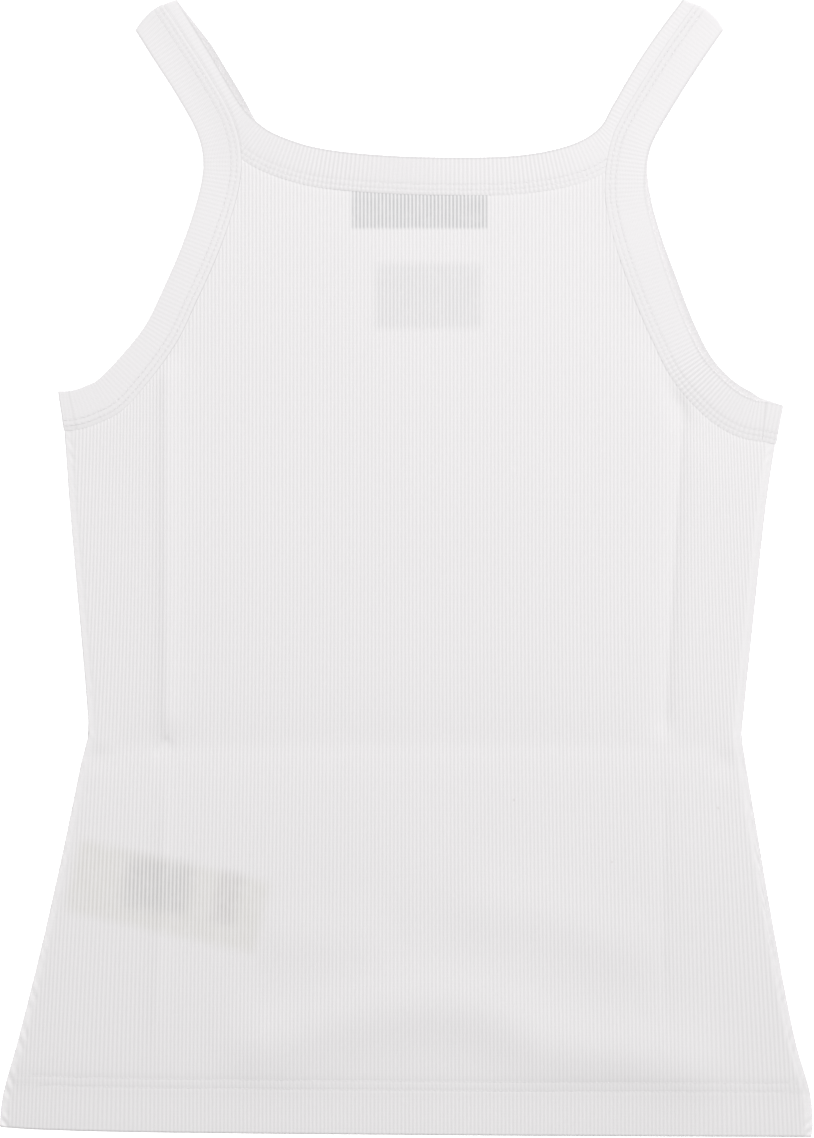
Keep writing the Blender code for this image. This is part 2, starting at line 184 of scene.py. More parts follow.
def setInputs(tree, node, inputs):
    # Inputs by name or number: values, or sockets to link.
    for key, value in inputs.items():
        if isinstance(value, bpy.types.NodeSocket):
            tree.links.new(value, node.inputs[key])
        else:
            node.inputs[key].default_value = value


def newNode(tree, kind, inputs=None, **settings):
    # A shader node with its settings, and then its inputs.
    made = tree.nodes.new("ShaderNode" + kind)
    for key, value in settings.items():
        setattr(made, key, value)
    setInputs(tree, made, inputs or {})
    return made


def sums(tree, operation, *values, clamp=False):
    # One Math node on values or sockets.
    made = newNode(tree, "Math", dict(enumerate(values)), operation=operation, use_clamp=clamp)
    return made.outputs[0]


def wave(tree, kind, value, turns):
    # The sine or cosine of this many full turns for each unit of the value.
    return sums(tree, kind, sums(tree, "MULTIPLY", value, 2 * math.pi * turns))


def noise(tree, place, scale, detail):
    # Soft noise from 0 to 1.
    return newNode(tree, "TexNoise", {"Vector": place, "Scale": scale, "Detail": detail}).outputs[0]


def mixColours(tree, share, first, second, blend="MIX", bothWays=False):
    # A mix of two sockets or colours. With bothWays, a share below 0 goes away from the second.
    first, second = ((*part, 1) if isinstance(part, tuple) else part for part in (first, second))
    inputs = {0: share, 6: first, 7: second}
    made = newNode(tree, "Mix", inputs, data_type="RGBA", blend_type=blend, clamp_factor=not bothWays)
    return made.outputs[2]


def softBox(tree, places, box, soft):
    # 1 inside a turned rectangle on the cloth and 0 outside, with edges this soft.
    x, height, width, depth, turn = box
    centre = (x * mm, (height - garment["length"] / 2) * mm, 0)
    turned = {0: places, 1: centre, 2: (0, 0, math.radians(turn))}
    moved = newNode(tree, "Mapping", turned, vector_type="TEXTURE").outputs[0]
    parts = newNode(tree, "SeparateXYZ", {0: moved}).outputs
    inside = []
    for part, size in ((parts[0], width), (parts[1], depth)):
        near, far = (size - soft) / 2 * mm, (size + soft) / 2 * mm
        ramp = {0: sums(tree, "ABSOLUTE", part), 1: near, 2: far, 3: 1, 4: 0}
        inside.append(newNode(tree, "MapRange", ramp, interpolation_type="SMOOTHSTEP").outputs[0])
    return sums(tree, "MULTIPLY", *inside)


def clothMaterial(name):
    # A new material, its tree, the place on the cloth, and that place's two parts.
    material, tree = newMaterial(name)
    place = newNode(tree, "UVMap", uv_map="clothPlace").outputs[0]
    parts = newNode(tree, "SeparateXYZ", {0: place}).outputs
    return material, tree, place, parts[0], parts[1]


def dressed(material, look, tone, relief):
    # The material with its colour, its fine relief and the plain numbers of its look.
    tree = material.node_tree
    bump = newNode(tree, "Bump", {"Height": relief, "Distance": look["bump"], "Strength": 0.5})
    inputs = {"Base Color": tone, "Normal": bump.outputs[0], **look["shader"]}
    setInputs(tree, tree.nodes["Principled BSDF"], inputs)
    return material


knit = {
    "course": 0.78,  # height of one stitch
    "slant": 0.9,  # rise of a stitch's two arms, in courses
    "bump": 0.00003,
    "broad": (14, 3),  # scale and detail of the colour's slow unevenness
    "broadTones": (0.985, 1.012),
    "yarn": (900, 2),  # and of the fuzz
    "yarnShare": 0.10,
    "yarnRelief": 0.5,
    "patches": (170, 2),  # and of the labels' uneven shadows
    "patchiness": (0.9, 0.5),
    "furrowShade": 0.94,  # painted shade in the furrows, where less light gets out through the cloth
    "edgeShade": 0.70,  # painted shade of cloth that turns down at an edge, or lies between the layers
    "shader": {"Roughness": 0.92, "Sheen Weight": 0.08, "Sheen Roughness": 0.6, "Specular IOR Level": 0.2},
}
shadowsAndSpecks = {  # painted shadows of labels behind the back, and specks: box, softness, tint of ridges and furrows
    "neck": ((6.7, 473.5, 69.3, 20, 0), 2.5, (0.98, 0.985, 0.985), (0.71, 0.72, 0.725)),
    "size": ((11.2, 429, 54, 33, 0), 6, (0.985, 0.987, 0.988), (0.88, 0.885, 0.885)),
    "care": ((-122, 122.8, 99, 37, -12.8), 8, (0.985, 0.982, 0.965), (0.90, 0.90, 0.87)),
    "careLeaf": ((-127, 128.5, 34, 26, -9), 11, (0.985, 0.985, 0.99), (0.84, 0.845, 0.865)),
    "careFold": ((-91.5, 122, 12, 27, -13), 8, (0.99, 0.985, 0.99), (0.87, 0.865, 0.88)),
    "firstSpeck": ((54.8, 172, 0.9, 1.3, 0), 0.6, (0.88, 0.87, 0.86), (0.88, 0.87, 0.86)),
    "secondSpeck": ((158.9, 167.9, 1, 1.4, 20), 0.6, (0.90, 0.89, 0.88), (0.90, 0.89, 0.88)),
    "thirdSpeck": ((104.8, 140.4, 1.2, 0.9, 0), 0.6, (0.92, 0.91, 0.90), (0.92, 0.91, 0.90)),
}


def knitMaterial(name, colour, ribPitch, labels=None):
    # White jersey: V stitches in columns, two columns to a rib, soft uneven colour and fuzz.
    material, tree, _, across, up = clothMaterial(name)
    columns = sums(tree, "DIVIDE", across, ribPitch * mm)
    inWale = sums(tree, "PINGPONG", sums(tree, "MULTIPLY", columns, 4), 1)
    course = sums(tree, "DIVIDE", up, knit["course"] * mm)
    loops = wave(tree, "SINE", sums(tree, "MULTIPLY_ADD", inWale, knit["slant"] / 2, course), 1)
    shown, shaded = (
        newNode(tree, "Attribute", attribute_name=key).outputs[2] for key in ("ribShow", "shaded")
    )
    furrow = sums(tree, "MULTIPLY_ADD", wave(tree, "COSINE", columns, 1), -0.5, 0.5)
    furrow = sums(tree, "MULTIPLY", furrow, shown)

    place = newNode(tree, "TexCoord").outputs["Object"]
    broad, yarn, patches = (noise(tree, place, *knit[key]) for key in ("broad", "yarn", "patches"))
    darker, lighter, shade, edge = (
        tuple(part * factor for part in colour)
        for factor in (*knit["broadTones"], knit["furrowShade"], knit["edgeShade"])
    )
    tone = mixColours(tree, broad, darker, lighter)
    tone = mixColours(tree, sums(tree, "MULTIPLY", yarn, knit["yarnShare"]), tone, shade)
    # painted shade in the rib furrows
    tone = mixColours(tree, furrow, tone, shade)
    # painted shade from the shaded attribute, and painted light where it is below 0
    tone = mixColours(tree, shaded, tone, edge, bothWays=True)
    # painted shadows of the labels behind the cloth, patchy and darker in the furrows, and the specks
    uneven = sums(tree, "MULTIPLY_ADD", patches, *knit["patchiness"], clamp=True)
    for box, soft, ridge, valley in (labels or {}).values():
        cover = sums(tree, "MULTIPLY", softBox(tree, place, box, soft), uneven)
        seen = mixColours(tree, furrow, ridge, valley)
        tone = mixColours(tree, cover, tone, mixColours(tree, 1, tone, seen, "MULTIPLY"))
    return dressed(material, knit, tone, sums(tree, "MULTIPLY_ADD", yarn, knit["yarnRelief"], loops))


threadLook = {
    "twist": (9000, 4000),  # of its plies, along and round
    "tones": ((0.80, 0.78, 0.79), (0.88, 0.865, 0.875)),
    "bump": 0.00004,
    "shader": {"Roughness": 0.6},
}


def threadMaterial():
    # Sewing thread: fine twisted plies round a slightly glossy white yarn.
    material, tree, _, along, around = clothMaterial("sewingThread")
    alongTwist, roundTwist = threadLook["twist"]
    plies = sums(tree, "MULTIPLY_ADD", along, alongTwist, sums(tree, "MULTIPLY", around, roundTwist))
    plies = sums(tree, "SINE", plies)
    tone = mixColours(tree, sums(tree, "MULTIPLY_ADD", plies, 0.5, 0.5), *threadLook["tones"])
    return dressed(material, threadLook, tone, plies)


tapeLook = {
    "weftPitch": 0.3,
    "warpPitch": 0.42,
    "warpShare": 0.4,
    "broad": (60, 2),  # scale and detail of its unevenness
    "tones": ((0.60, 0.60, 0.61), (0.68, 0.68, 0.685)),
    "weftTone": (0.5, 0.5, 0.51),
    "bump": 0.00004,
    "shader": {"Roughness": 0.5, "Sheen Weight": 0.1},
}


def tapeMaterial():
    # Blank satin label tape: fine weft and warp lines and faint unevenness.
    material, tree, place, across, up = clothMaterial("labelTape")
    weft = wave(tree, "SINE", up, 1 / (tapeLook["weftPitch"] * mm))
    warp = wave(tree, "SINE", across, 1 / (tapeLook["warpPitch"] * mm))
    tone = mixColours(tree, noise(tree, place, *tapeLook["broad"]), *tapeLook["tones"])
    tone = mixColours(tree, sums(tree, "MULTIPLY_ADD", weft, 0.05, 0.06), tone, tapeLook["weftTone"])
    return dressed(material, tapeLook, tone, sums(tree, "MULTIPLY_ADD", warp, tapeLook["warpShare"], weft))


panelPitch = 1.90
bandPitch = 2.2
ribPhases = (0, 0.27, 0.5, 0.73)  # points across each rib, from ridge to ridge
backCloth = knitMaterial("backRibJersey", (0.872, 0.857, 0.864), panelPitch, shadowsAndSpecks)
frontCloth = knitMaterial("frontRibJersey", (0.872, 0.857, 0.864), panelPitch)
bandCloth = knitMaterial("foldedRibBinding", (0.860, 0.844, 0.852), bandPitch)
thread = threadMaterial()
tape = tapeMaterial()
print("materials ready")


def ribStations(numbers):
    # The points across these ribs, counted in ribs.
    return (numbers[:, None] + np.array(ribPhases)[None]).ravel()


# Strips of binding. The pairs in their tables are the distance from the start and a value.
armholeLeft = {
    "side": -1,  # the strip lies to the right of the way along its free edge
    "rows": (  # x, height and width along the free edge, from the underarm to the strap's top
        (-178.4, 380.6, 20.6), (-171.5, 380.9, 20.4), (-164.1, 383.2, 20.2), (-154.7, 388.9, 20),
        (-135, 411.6, 18.4), (-123.9, 433.2, 18.2), (-113.5, 457.6, 18.8), (-106, 481.2, 19.4),
        (-103.7, 497.4, 19.7), (-107, 512.6, 19.7), (-117, 531, 19.6), (-128.8, 549.4, 19.6),
        (-137.6, 563.4, 19.6),
    ),
    "lean": ((8.5, 5, 2), 12),  # of its sections from square, in the first rows and the last
    "slant": -33.5,  # of the strap from upright
    "tipBulge": 1.5,
    "joinSeam": (5.2, 0.2),  # from the underarm's end, and how dark its painted shade is
    "ribShow": (  # how high its ribs stand
        (0, 0.22), (25, 0.26), (50, 0.14), (70, 0.24), (90, 0.18), (110, 0.2), (130, 0.14),
        (150, 0.27), (170, 0.4), (190, 0.34), (300, 0.36),
    ),
    "seamLow": ((0, 0.2), (45, 0.14), (65, 0.05)),  # the strip thins toward its seam, by this much
    "seamReach": 3,  # and over this distance
    "lipRise": ((0, 0.03), (45, 0.06)),  # and stands up a little just inside it
    "edgeShaded": ((0, 0), (60, 0.05), (100, 0.1), (150, 0.2), (240, 0.4)),  # how dark its free edge is
    "seamShaded": ((140, 0), (180, 0.1)),  # and its half toward the seam
    "seamLine": (  # painted shade along the line between strip and panel
        (0, 0.1), (30, 0.2), (60, 0.8), (90, 0.95), (105, 1), (120, 0.9), (135, 0.75),
        (150, 0.95), (165, 0.6), (180, 0.4), (300, 0.35),
    ),
    "rowShaded": 0.28,
    "insideShaded": 0.3,
    "tipShaded": 0.4,
    "endShaded": 0.15,
}
armholeRight = {
    "side": 1,
    "rows": (
        (192.4, 373.3, 20.4), (184.8, 375.1, 20.4), (176.2, 376.6, 20.4), (166, 382.6, 20.2),
        (152.8, 395.9, 19.4), (144.1, 411.7, 19.2), (135.6, 433.1, 20.1), (127.6, 457.8, 20.9),
        (122.3, 480.2, 20.9), (122.8, 498.1, 20.3), (127.5, 511.5, 19.9), (142.4, 536.3, 19.9),
        (151.9, 550.6, 19.9), (161.1, 563.6, 19.9),
    ),
    "lean": ((-3.5, -1.5), 8),
    "slant": 38,
    "tipBulge": 2,
    "joinSeam": (7.7, 0.28),
    "ribShow": (
        (0, 0.6), (30, 1), (50, 1.1), (70, 0.45), (90, 0.4), (110, 0.4), (130, 0.13),
        (150, 0.24), (170, 0.24), (190, 0.17), (300, 0.16),
    ),
    "seamLow": ((0, 0.2), (45, 0.18), (65, 0.06)),
    "seamReach": 11,
    "lipRise": ((40, 0), (65, 0.06)),
    "edgeShaded": ((0, 0.2), (20, 0.5), (60, 0.5), (80, 0.3), (130, 0.25), (165, 0.38), (240, 0.42)),
    "seamShaded": ((140, 0), (180, 0.05)),
    "seamLine": (
        (45, 0), (58, 0.05), (75, 0.25), (120, 0.25), (135, 0), (150, 0.2), (165, 0.45), (300, 0.4),
    ),
    "rowShaded": 0.26,
    "insideShaded": 0.3,
    "tipShaded": 0.5,
    "endShaded": 0.25,
}
neckBack = {
    "side": -1,
    "rows": (
        (-116.3, 579.2, 17.5), (-100.7, 554, 17.5), (-85.9, 529, 17.9), (-77.2, 518.8, 19.6),
        (-65.6, 511.2, 19.9), (-44.1, 504.5, 19.9), (-12, 500.9, 19.5), (25, 499.8, 19.4),
        (58, 500.9, 19.6), (83, 506, 20.1), (97.8, 514.4, 20), (105.5, 527, 18.8),
        (118.1, 548.6, 17.5), (129.3, 565, 17.5), (140.3, 579.7, 17.5),
    ),
    "tipRise": 1.8,
    "ribShow": (
        (0, 0.25), (50, 0.3), (72, 0.85), (110, 0.95), (130, 1.15), (160, 1.2), (185, 0.95),
        (215, 0.75), (236, 0.75), (258, 0.32), (400, 0.25),
    ),
    "seamLow": ((0, 0.05), (70, 0.16), (250, 0.16), (320, 0.05)),
    "seamReach": 11,
    "lipRise": ((0, 0.02),),
    "edgeShaded": ((0, 0.3), (12, 0.7), (60, 0.7), (75, 0.55), (230, 0.58), (250, 0.5), (310, 0.48)),
    "seamLine": ((120, 0), (130, 0.5), (185, 0.5), (195, 0)),
    "rowShaded": 0.1,
    "insideShaded": 0.42,
    "tipShaded": (0.5, 0.4),  # right and left strap
}
neckFront = {
    "side": -1,
    "rows": (
        (-116.3, 579.2, 17.5), (-100.7, 554, 17.5), (-85.9, 529, 17.5), (-74, 506, 17.5),
        (-62, 484, 17.5), (-44, 461, 17.5), (-18, 445, 17.5), (12, 440, 17.5),
        (42, 445, 17.5), (68, 461, 17.5), (86, 484, 17.5), (97, 506, 17.5),
        (106.6, 529, 17.5), (118.1, 548.6, 17.5), (129.3, 565, 17.5), (140.3, 579.7, 17.5),
    ),
    "ribShow": ((0, 0.25), (55, 0.4), (90, 0.95), (330, 0.95), (360, 0.4), (500, 0.25)),
    "seamLow": ((0, 0.1),),
    "seamReach": 3,
    "lipRise": ((0, 0.03),),
    "edgeShaded": ((0, 0.3),),
    "seamLine": ((0, 0.2),),
    "rowShaded": 0.1,
    "insideShaded": 0.5,
}
frontShift = {  # how far the front's edges lie to the right of the back's
    "left": ((379, 0), (396, 2.5), (440, 3.3), (457, 3.6), (480, 3.8), (497, 3.7), (512, 3.6), (545, 3.4)),
    "right": ((373, 0), (379, 4.5), (396, 4.5), (440, 4.2), (457, 3.2), (480, 2.4), (497, 0.5), (512, 0.2)),
    "foldEase": 26,
    "raised": (174, 9, 1.9),  # the right underarm's front lies a little higher: x, reach, rise
}
bandLook = {
    "fromFree": (0, 0.07, 0.3, 0.7, 1.4, 2.8, 5.2),  # points across the outer face, from each edge
    "fromSeam": (8.2, 6.5, 5.9, 5.45, 5, 4.2, 3.4, 3, 2.6, 2.2, 1.6, 1.1, 0.6, 0.3, 0.07, 0),
    # Points across the inner face: shares of the width, and at most this far.
    "inner": ((1, 99), (0.5, 99), (0.3, 1.6), (1, 0.5), (1, 0.08)),
    "innerLift": 0.06,  # of the last of them, as a share of the plain thickness
    "needleRows": (2.6, 5.45),  # from the seam edge
    "grooveReach": 0.4,
    "grooveDepth": 0.05,
    "rowPinch": 0.3,  # the ribs are lower along the needle rows and where the strip is cut
    "cutPinch": 0.8,
    "edgeRound": 0.7,
    "edgeDrop": 0.06,
    "edge": (0.4, 0.5),  # place and reach of its shade
    "insideEdge": 0.25,  # and how dark it is on the inner face
    "seamLineReach": 0.3,
    "lip": (1.3, 0.6),  # where the cloth stands up between the seam edge and its needle row
    "coverLeast": 0.3,  # a smaller loss of width is no cover
    "coverLap": 0.8,  # of the armhole strips over the neck strip
    "coverBeyond": 12,
    "tuckRound": 2.2,  # the neck strip dips where an armhole strip covers its edge
    "tuckDrop": 0.12,
    "joinReach": 0.45,  # the strip's own seam at the underarm
    "joinDepth": 0.06,
    "foldSteps": 8,
    "foldDepth": 2,
    "foldSquare": 0.6,  # under 1, the turn is flatter on top and steeper at its edge
    "endDepth": 0.8,
}
bandThickness = {  # upper strips stand on the back's inner level, and lower ones hang from the front's
    "armhole": {"plain": 1.32, "crown": 0.08, "rib": 0.26, "hangs": False},
    "neck": {"plain": 1.26, "crown": 0.08, "rib": 0.26, "hangs": False},
    "under": {"plain": 1.25, "crown": 0.1, "rib": 0.3, "hangs": True},
}


def frontMoved(path):
    # The path of a front edge, moved to the right except close to the straps' folds.
    x, height = path.T
    shift = np.where(x < 0, fromTable(height, frontShift["left"]), fromTable(height, frontShift["right"]))
    along = lengthsAlong(path)
    toFold = along[-1] - along
    if height[0] > height.mean():
        toFold = np.minimum(toFold, along)
    place, reach, rise = frontShift["raised"]
    ease = np.clip(toFold / frontShift["foldEase"], 0, 1)
    return path + np.stack([shift * ease, rise * bell(x - place, reach)], axis=1)


def bandFrom(spec, front):
    # A strip laid flat: its free edge, the way across it, and its width at each point.
    rows = np.array(spec["rows"])
    path = curveThrough(rows[:, :2])
    lean = np.zeros(len(rows))
    first, last = spec.get("lean", ((), 0))
    lean[:len(first)] = first
    lean[-1] = last
    atRows = np.linspace(0, len(path) - 1, len(rows))
    width, lean = (np.interp(np.arange(len(path)), atRows, values) for values in (rows[:, 2], lean))
    across = turnedBy(unit(np.gradient(path, axis=0)), spec["side"] * (90 - lean))
    return {"path": frontMoved(path) if front else path, "across": across, "width": width, "full": width}


def seamLine(band, further=0):
    # The strip's seam edge, or a line this much further across.
    return band["path"] + band["across"] * (band["width"] + further)[:, None]


def firstCrossing(start, way, line):
    # How far along the way each start meets the line, or infinity.
    low, step = line[:-1], np.diff(line, axis=0)
    gap = low[None] - start[:, None]
    turn = way[:, None, 0] * step[None, :, 1] - way[:, None, 1] * step[None, :, 0]
    turn = np.where(np.abs(turn) < 1e-12, np.inf, turn)
    distance = (gap[..., 0] * step[None, :, 1] - gap[..., 1] * step[None, :, 0]) / turn
    share = (gap[..., 0] * way[:, None, 1] - gap[..., 1] * way[:, None, 0]) / turn
    return np.where((share >= 0) & (share <= 1) & (distance > 0), distance, np.inf).min(axis=1)


def tuckedUnder(neck, left, right):
    # The neck strip, cut where the armhole strips lie over it on the straps.
    width = neck["width"]
    for band in (left, right):
        cover = seamLine(band, -bandLook["coverLap"])
        beyond = cover[-1] + bandLook["coverBeyond"] * unit(cover[-1:] - cover[-2:-1])
        width = np.minimum(width, firstCrossing(neck["path"], neck["across"], np.vstack([cover, beyond])))
    return {**neck, "width": width}


def stationsOf(band, trim=0):
    # The strip again at stations that follow its ribs, with the distance along and the rib's phase.
    middle = band["path"] + band["across"] * band["full"][:, None] / 2
    along = lengthsAlong(middle)
    ribCount = int((along[-1] - trim) / bandPitch)
    pitch = (along[-1] - trim) / ribCount
    wanted = np.append(trim + ribStations(np.arange(ribCount)) * pitch, along[-1])
    return {
        "path": atLengths(band["path"], along, wanted),
        "across": unit(atLengths(band["across"], along, wanted)),
        "width": np.interp(wanted, along, band["width"]),
        "full": np.interp(wanted, along, band["full"]),
        "along": wanted - trim,
        "phase": (wanted - trim) / pitch,
    }


def tableAlong(band, rows):
    # A table's values at a strip's stations.
    return fromTable(band["along"], rows)[:, None]


def joinSwell(band, spec, rise):
    # A ridge or groove across the strip at its own seam, or the painted shade along that seam.
    return swell(band["along"][:, None], spec["joinSeam"][0], bandLook["joinReach"], rise)


def rowGrooves(away, look):
    # 1 along each needle row.
    return sum(bell(away - row, look["grooveReach"]) for row in look["needleRows"])


def bandHeights(band, spec, thick, s, joined):
    # Height of a strip's outer face over its inner one: plain cloth, a low crown, ribs that stand
    # by their share, needle grooves, and a free edge and a seam edge that drop a little.
    width, full = band["width"][:, None], band["full"][:, None]
    toSeam, toCut, share = full - s, width - s, np.clip(s / width, 0, 1)
    grooves = rowGrooves(toSeam, bandLook)
    rise = thick["plain"] + thick["crown"] * 4 * share * (1 - share)
    rise = rise - tableAlong(band, spec["seamLow"]) * smoothStep(1 - toSeam / spec["seamReach"])
    rise = rise + swell(toSeam, *bandLook["lip"], tableAlong(band, spec["lipRise"]))
    pinched = bandLook["cutPinch"] * bell(toCut, 1) + bandLook["rowPinch"] * np.clip(grooves, 0, 1)
    show = tableAlong(band, spec["ribShow"]) * np.clip(1 - pinched, 0, 1)
    rise = rise + thick["rib"] * show * ribProfile(band["phase"])[:, None]
    rise = rise - bandLook["grooveDepth"] * grooves
    if joined:
        rise = rise - joinSwell(band, spec, bandLook["joinDepth"])
    covered = width < full - bandLook["coverLeast"]
    tucked = bandLook["tuckDrop"] * (1 - smoothStep(toCut / bandLook["tuckRound"]))
    dropped = bandLook["edgeDrop"] * (1 - edgeRoll(s, bandLook["edgeRound"]))
    return rise * (1 - dropped) * (1 - np.where(covered, tucked, 0))


def bandLevel(height, thick, least=0):
    # Level of a strip's outer face: up from its inner one, or down from it as far as the surface.
    if not thick["hangs"]:
        return garment["backInner"] + height
    whole = thick["plain"] + thick["crown"] + thick["rib"] * 0.9
    return np.maximum(garment["hemInner"] * (1 - height / whole), least)


def bandSections(band, spec, thick):
    # Closed sections of a strip, outer face from free to seam edge and back along the inner face,
    # with each point's place across, share of the ribs' height and how shaded it is.
    width, full = band["width"][:, None], band["full"][:, None]
    free = np.repeat(np.array(bandLook["fromFree"])[None], len(full), 0)
    outer = np.concatenate([free, full - np.array(bandLook["fromSeam"])], axis=1) * (width / full)
    shares, most = np.array(bandLook["inner"]).T
    inner = np.minimum(width * shares, most)
    innerHeight = np.zeros_like(inner)
    innerHeight[:, -1] = bandLook["innerLift"] * thick["plain"]
    height = bandHeights(band, spec, thick, outer, "joinSeam" in spec)
    level = bandLevel(np.concatenate([height, innerHeight], axis=1), thick)
    s = np.concatenate([outer, inner], axis=1)
    flat = band["path"][:, None] + band["across"][:, None] * s[..., None]
    # Painted shade at the free edge, needle rows, seam line, straps' seam half, join seam and inner face.
    shaded = swell(s, *bandLook["edge"], tableAlong(band, spec["edgeShaded"]))
    shaded = shaded + spec["rowShaded"] * rowGrooves(full - s, bandLook)
    shaded = shaded + swell(full - s, 0, bandLook["seamLineReach"], tableAlong(band, spec["seamLine"]))
    if "joinSeam" in spec:
        shaded = shaded + tableAlong(band, spec["seamShaded"]) * smoothStep((s / full - 0.3) / 0.4)
        shaded = shaded + joinSwell(band, spec, spec["joinSeam"][1])
    inside = bandLook["insideEdge"] * bell(inner, bandLook["edge"][1])
    shaded[:, outer.shape[1]:] = spec["insideShaded"] + inside
    show = np.broadcast_to(tableAlong(band, spec["ribShow"]), s.shape)
    return toFrame(flat[..., 0], flat[..., 1], level), {"across": s, "ribShow": show, "shaded": shaded}


def turnedOver(start, end, values, way, reach, bulge, lift, dark):
    # Sections on half a squarish ellipse from one end section to the other, out along the way, with
    # a bulge in their middle and a lift toward the seam edge. They have the values of the section
    # beside them but are more shaded.
    turns = np.linspace(0, math.pi, bandLook["foldSteps"] + 1)[1:-1, None]
    square = bandLook["foldSquare"]
    down, along = np.sign(np.cos(turns)) * np.abs(np.cos(turns)) ** square, np.sin(turns) ** square
    share = np.clip(values["across"] / values["across"].max(), 0, 1)
    middle, half = (start + end) / 2, (start - end) / 2
    out = np.abs(half[:, 2]) / bandLook["foldDepth"] * reach
    out = out + (bulge * np.sin(np.pi * share) + lift * share) * mm
    sections = middle + half * down[..., None] + np.append(way, 0) * out[:, None] * along[..., None]
    made = {key: np.repeat(row[None], len(turns), 0) for key, row in values.items()}
    made["shaded"] = np.maximum(made["shaded"], np.sin(turns) * dark)
    return sections, made


def strapWay(spec):
    # The way up along a strap.
    slant = math.radians(spec["slant"])
    return np.array([math.sin(slant), math.cos(slant)])


def wrapped(grid):
    # The grid with its first row and column once more at its end.
    return np.pad(grid, ((0, 1), (0, 1)), mode="wrap")


def ringPiece(name, node, strips, turns):
    # One binding, a tube that closes on itself both ways: along the back's strip, over the first
    # turn, back along the front's strip and over the second turn.
    (upper, above), (lower, below) = (bandSections(*strip) for strip in strips)
    lower, below = lower[::-1], {key: grid[::-1] for key, grid in below.items()}
    first, last = ({key: grid[at] for key, grid in above.items()} for at in (0, -1))
    stretches = [
        (upper, above), turnedOver(upper[-1], lower[0], last, *turns[0]),
        (lower, below), turnedOver(lower[-1], upper[0], first, *turns[1]),
    ]
    sections = np.concatenate([stretch[0] for stretch in stretches])
    values = {key: np.concatenate([stretch[1][key] for stretch in stretches]) for key in above}
    centres = sections.mean(axis=1)
    steps = np.linalg.norm(np.roll(centres, -1, axis=0) - centres, axis=1) / mm
    along = np.concatenate([[0], np.cumsum(steps)])[:, None]
    points = sections.reshape(-1, 3)
    quads = fourCorners(wrapped(np.arange(len(points)).reshape(sections.shape[:2])))
    places = fourCorners(np.stack(np.broadcast_arrays(along, wrapped(values.pop("across"))), axis=-1) * mm)
    shares = {key: fourCorners(wrapped(grid)) for key, grid in values.items()}
    a, b, c, d = (points[quads[:, corner]] for corner in range(4))
    if np.sum(a * (np.cross(b, c) + np.cross(c, d))) < 0:  # inside out: the volume is negative
        quads, places = quads[:, ::-1], places[:, ::-1]
        shares = {key: share[:, ::-1] for key, share in shares.items()}
    piece = pieceFrom(name, points, quads.tolist(), places, bandCloth, node, shares=shares)
    return piece, strips


def armholeRing(name, node, spec):
    # Up the back of the armhole, over the strap's top, down the front and round at the underarm.
    trim = bandLook["endDepth"]
    strips = [
        (stationsOf(bandFrom(spec, front), trim), spec, bandThickness[key])
        for front, key in ((False, "armhole"), (True, "under"))
    ]
    side = -unit(np.gradient(strips[0][0]["path"], axis=0))[0]
    return ringPiece(name, node, strips, (
        (strapWay(spec), bandLook["foldDepth"], spec["tipBulge"], 0, spec["tipShaded"]),
        (side, trim, 0, 0, spec["endShaded"]),
    ))


def neckRing(name, node):
    # Across the back of the neck, over the right strap, across the front and over the left strap.
    strips = [
        (stationsOf(tuckedUnder(**layers[layer])), spec, bandThickness[key])
        for layer, spec, key in (("back", neckBack, "neck"), ("front", neckFront, "under"))
    ]
    return ringPiece(name, node, strips, [
        (strapWay(spec), bandLook["foldDepth"], 0, neckBack["tipRise"], dark)
        for spec, dark in zip((armholeRight, armholeLeft), neckBack["tipShaded"])
    ])


layers = {
    layer: {
        "left": bandFrom(armholeLeft, front),
        "right": bandFrom(armholeRight, front),
        "neck": bandFrom(neckSpec, front),
    }
    for layer, neckSpec, front in (("back", neckBack, False), ("front", neckFront, True))
}
bindings = {  # each piece, and its strips of the back and of the front
    "leftArmhole": armholeRing("leftArmholeBinding", "armhole_binding_left", armholeLeft),
    "rightArmhole": armholeRing("rightArmholeBinding", "armhole_binding_right", armholeRight),
    "neck": neckRing("neckBinding", "neck_binding"),
}
print("bindings ready:", [len(piece.data.polygons) for piece, strips in bindings.values()])

sides = {
    "rows": (  # height, left and right side seam
        (362, -174.6, 189.5), (359, -174.4, 189), (320, -171.6, 183.2), (256, -166, 176.2),
        (218, -162.8, 172.3), (205, -162.6, 171.2), (190, -166.2, 173.3), (154, -173.6, 179.3),
        (103, -184.9, 188), (52, -197.6, 197.8), (24, -205.4, 205.7), (9, -207.3, 207.3),
        (4.5, -206.4, 207.2), (0.5, -195, 206.7), (-1, -180, 206),
    ),
    "rollReach": 0.4,
    "edgeShaded": (0, 0.9),  # left and right
    "edgeReach": 0.35,
    "allowanceShaded": ((60, -0.2), (110, -0.13), (170, -0.05), (230, 0)),  # by height: painted shade, painted light below 0
    "allowanceReach": 5.5,
    "seam": (2.9, 0.6, -0.04),  # a shallow groove along it: place in from the edge, reach and rise
    "allowance": (4.3, 1.1, 0.05),  # the ridge that the seam allowance makes
    "puckers": (1.8, 2.2, 0.3),
    "puckerPitch": 6.5,
    "puckerSlope": 1.2,
    "puckerUpper": 0.35,  # share of them that is left above the waist
    "ribsFrom": 2.8,
    "ribsOver": 3,
    "paintedLowShade": ((0, 0.04), (50, 0.045), (115, 0.035), (180, 0)),  # by height: painted shade, a touch darker low down
    "paintedLowShadeRight": (60, 60),  # and twice as much on the right, from this x and over this distance
}
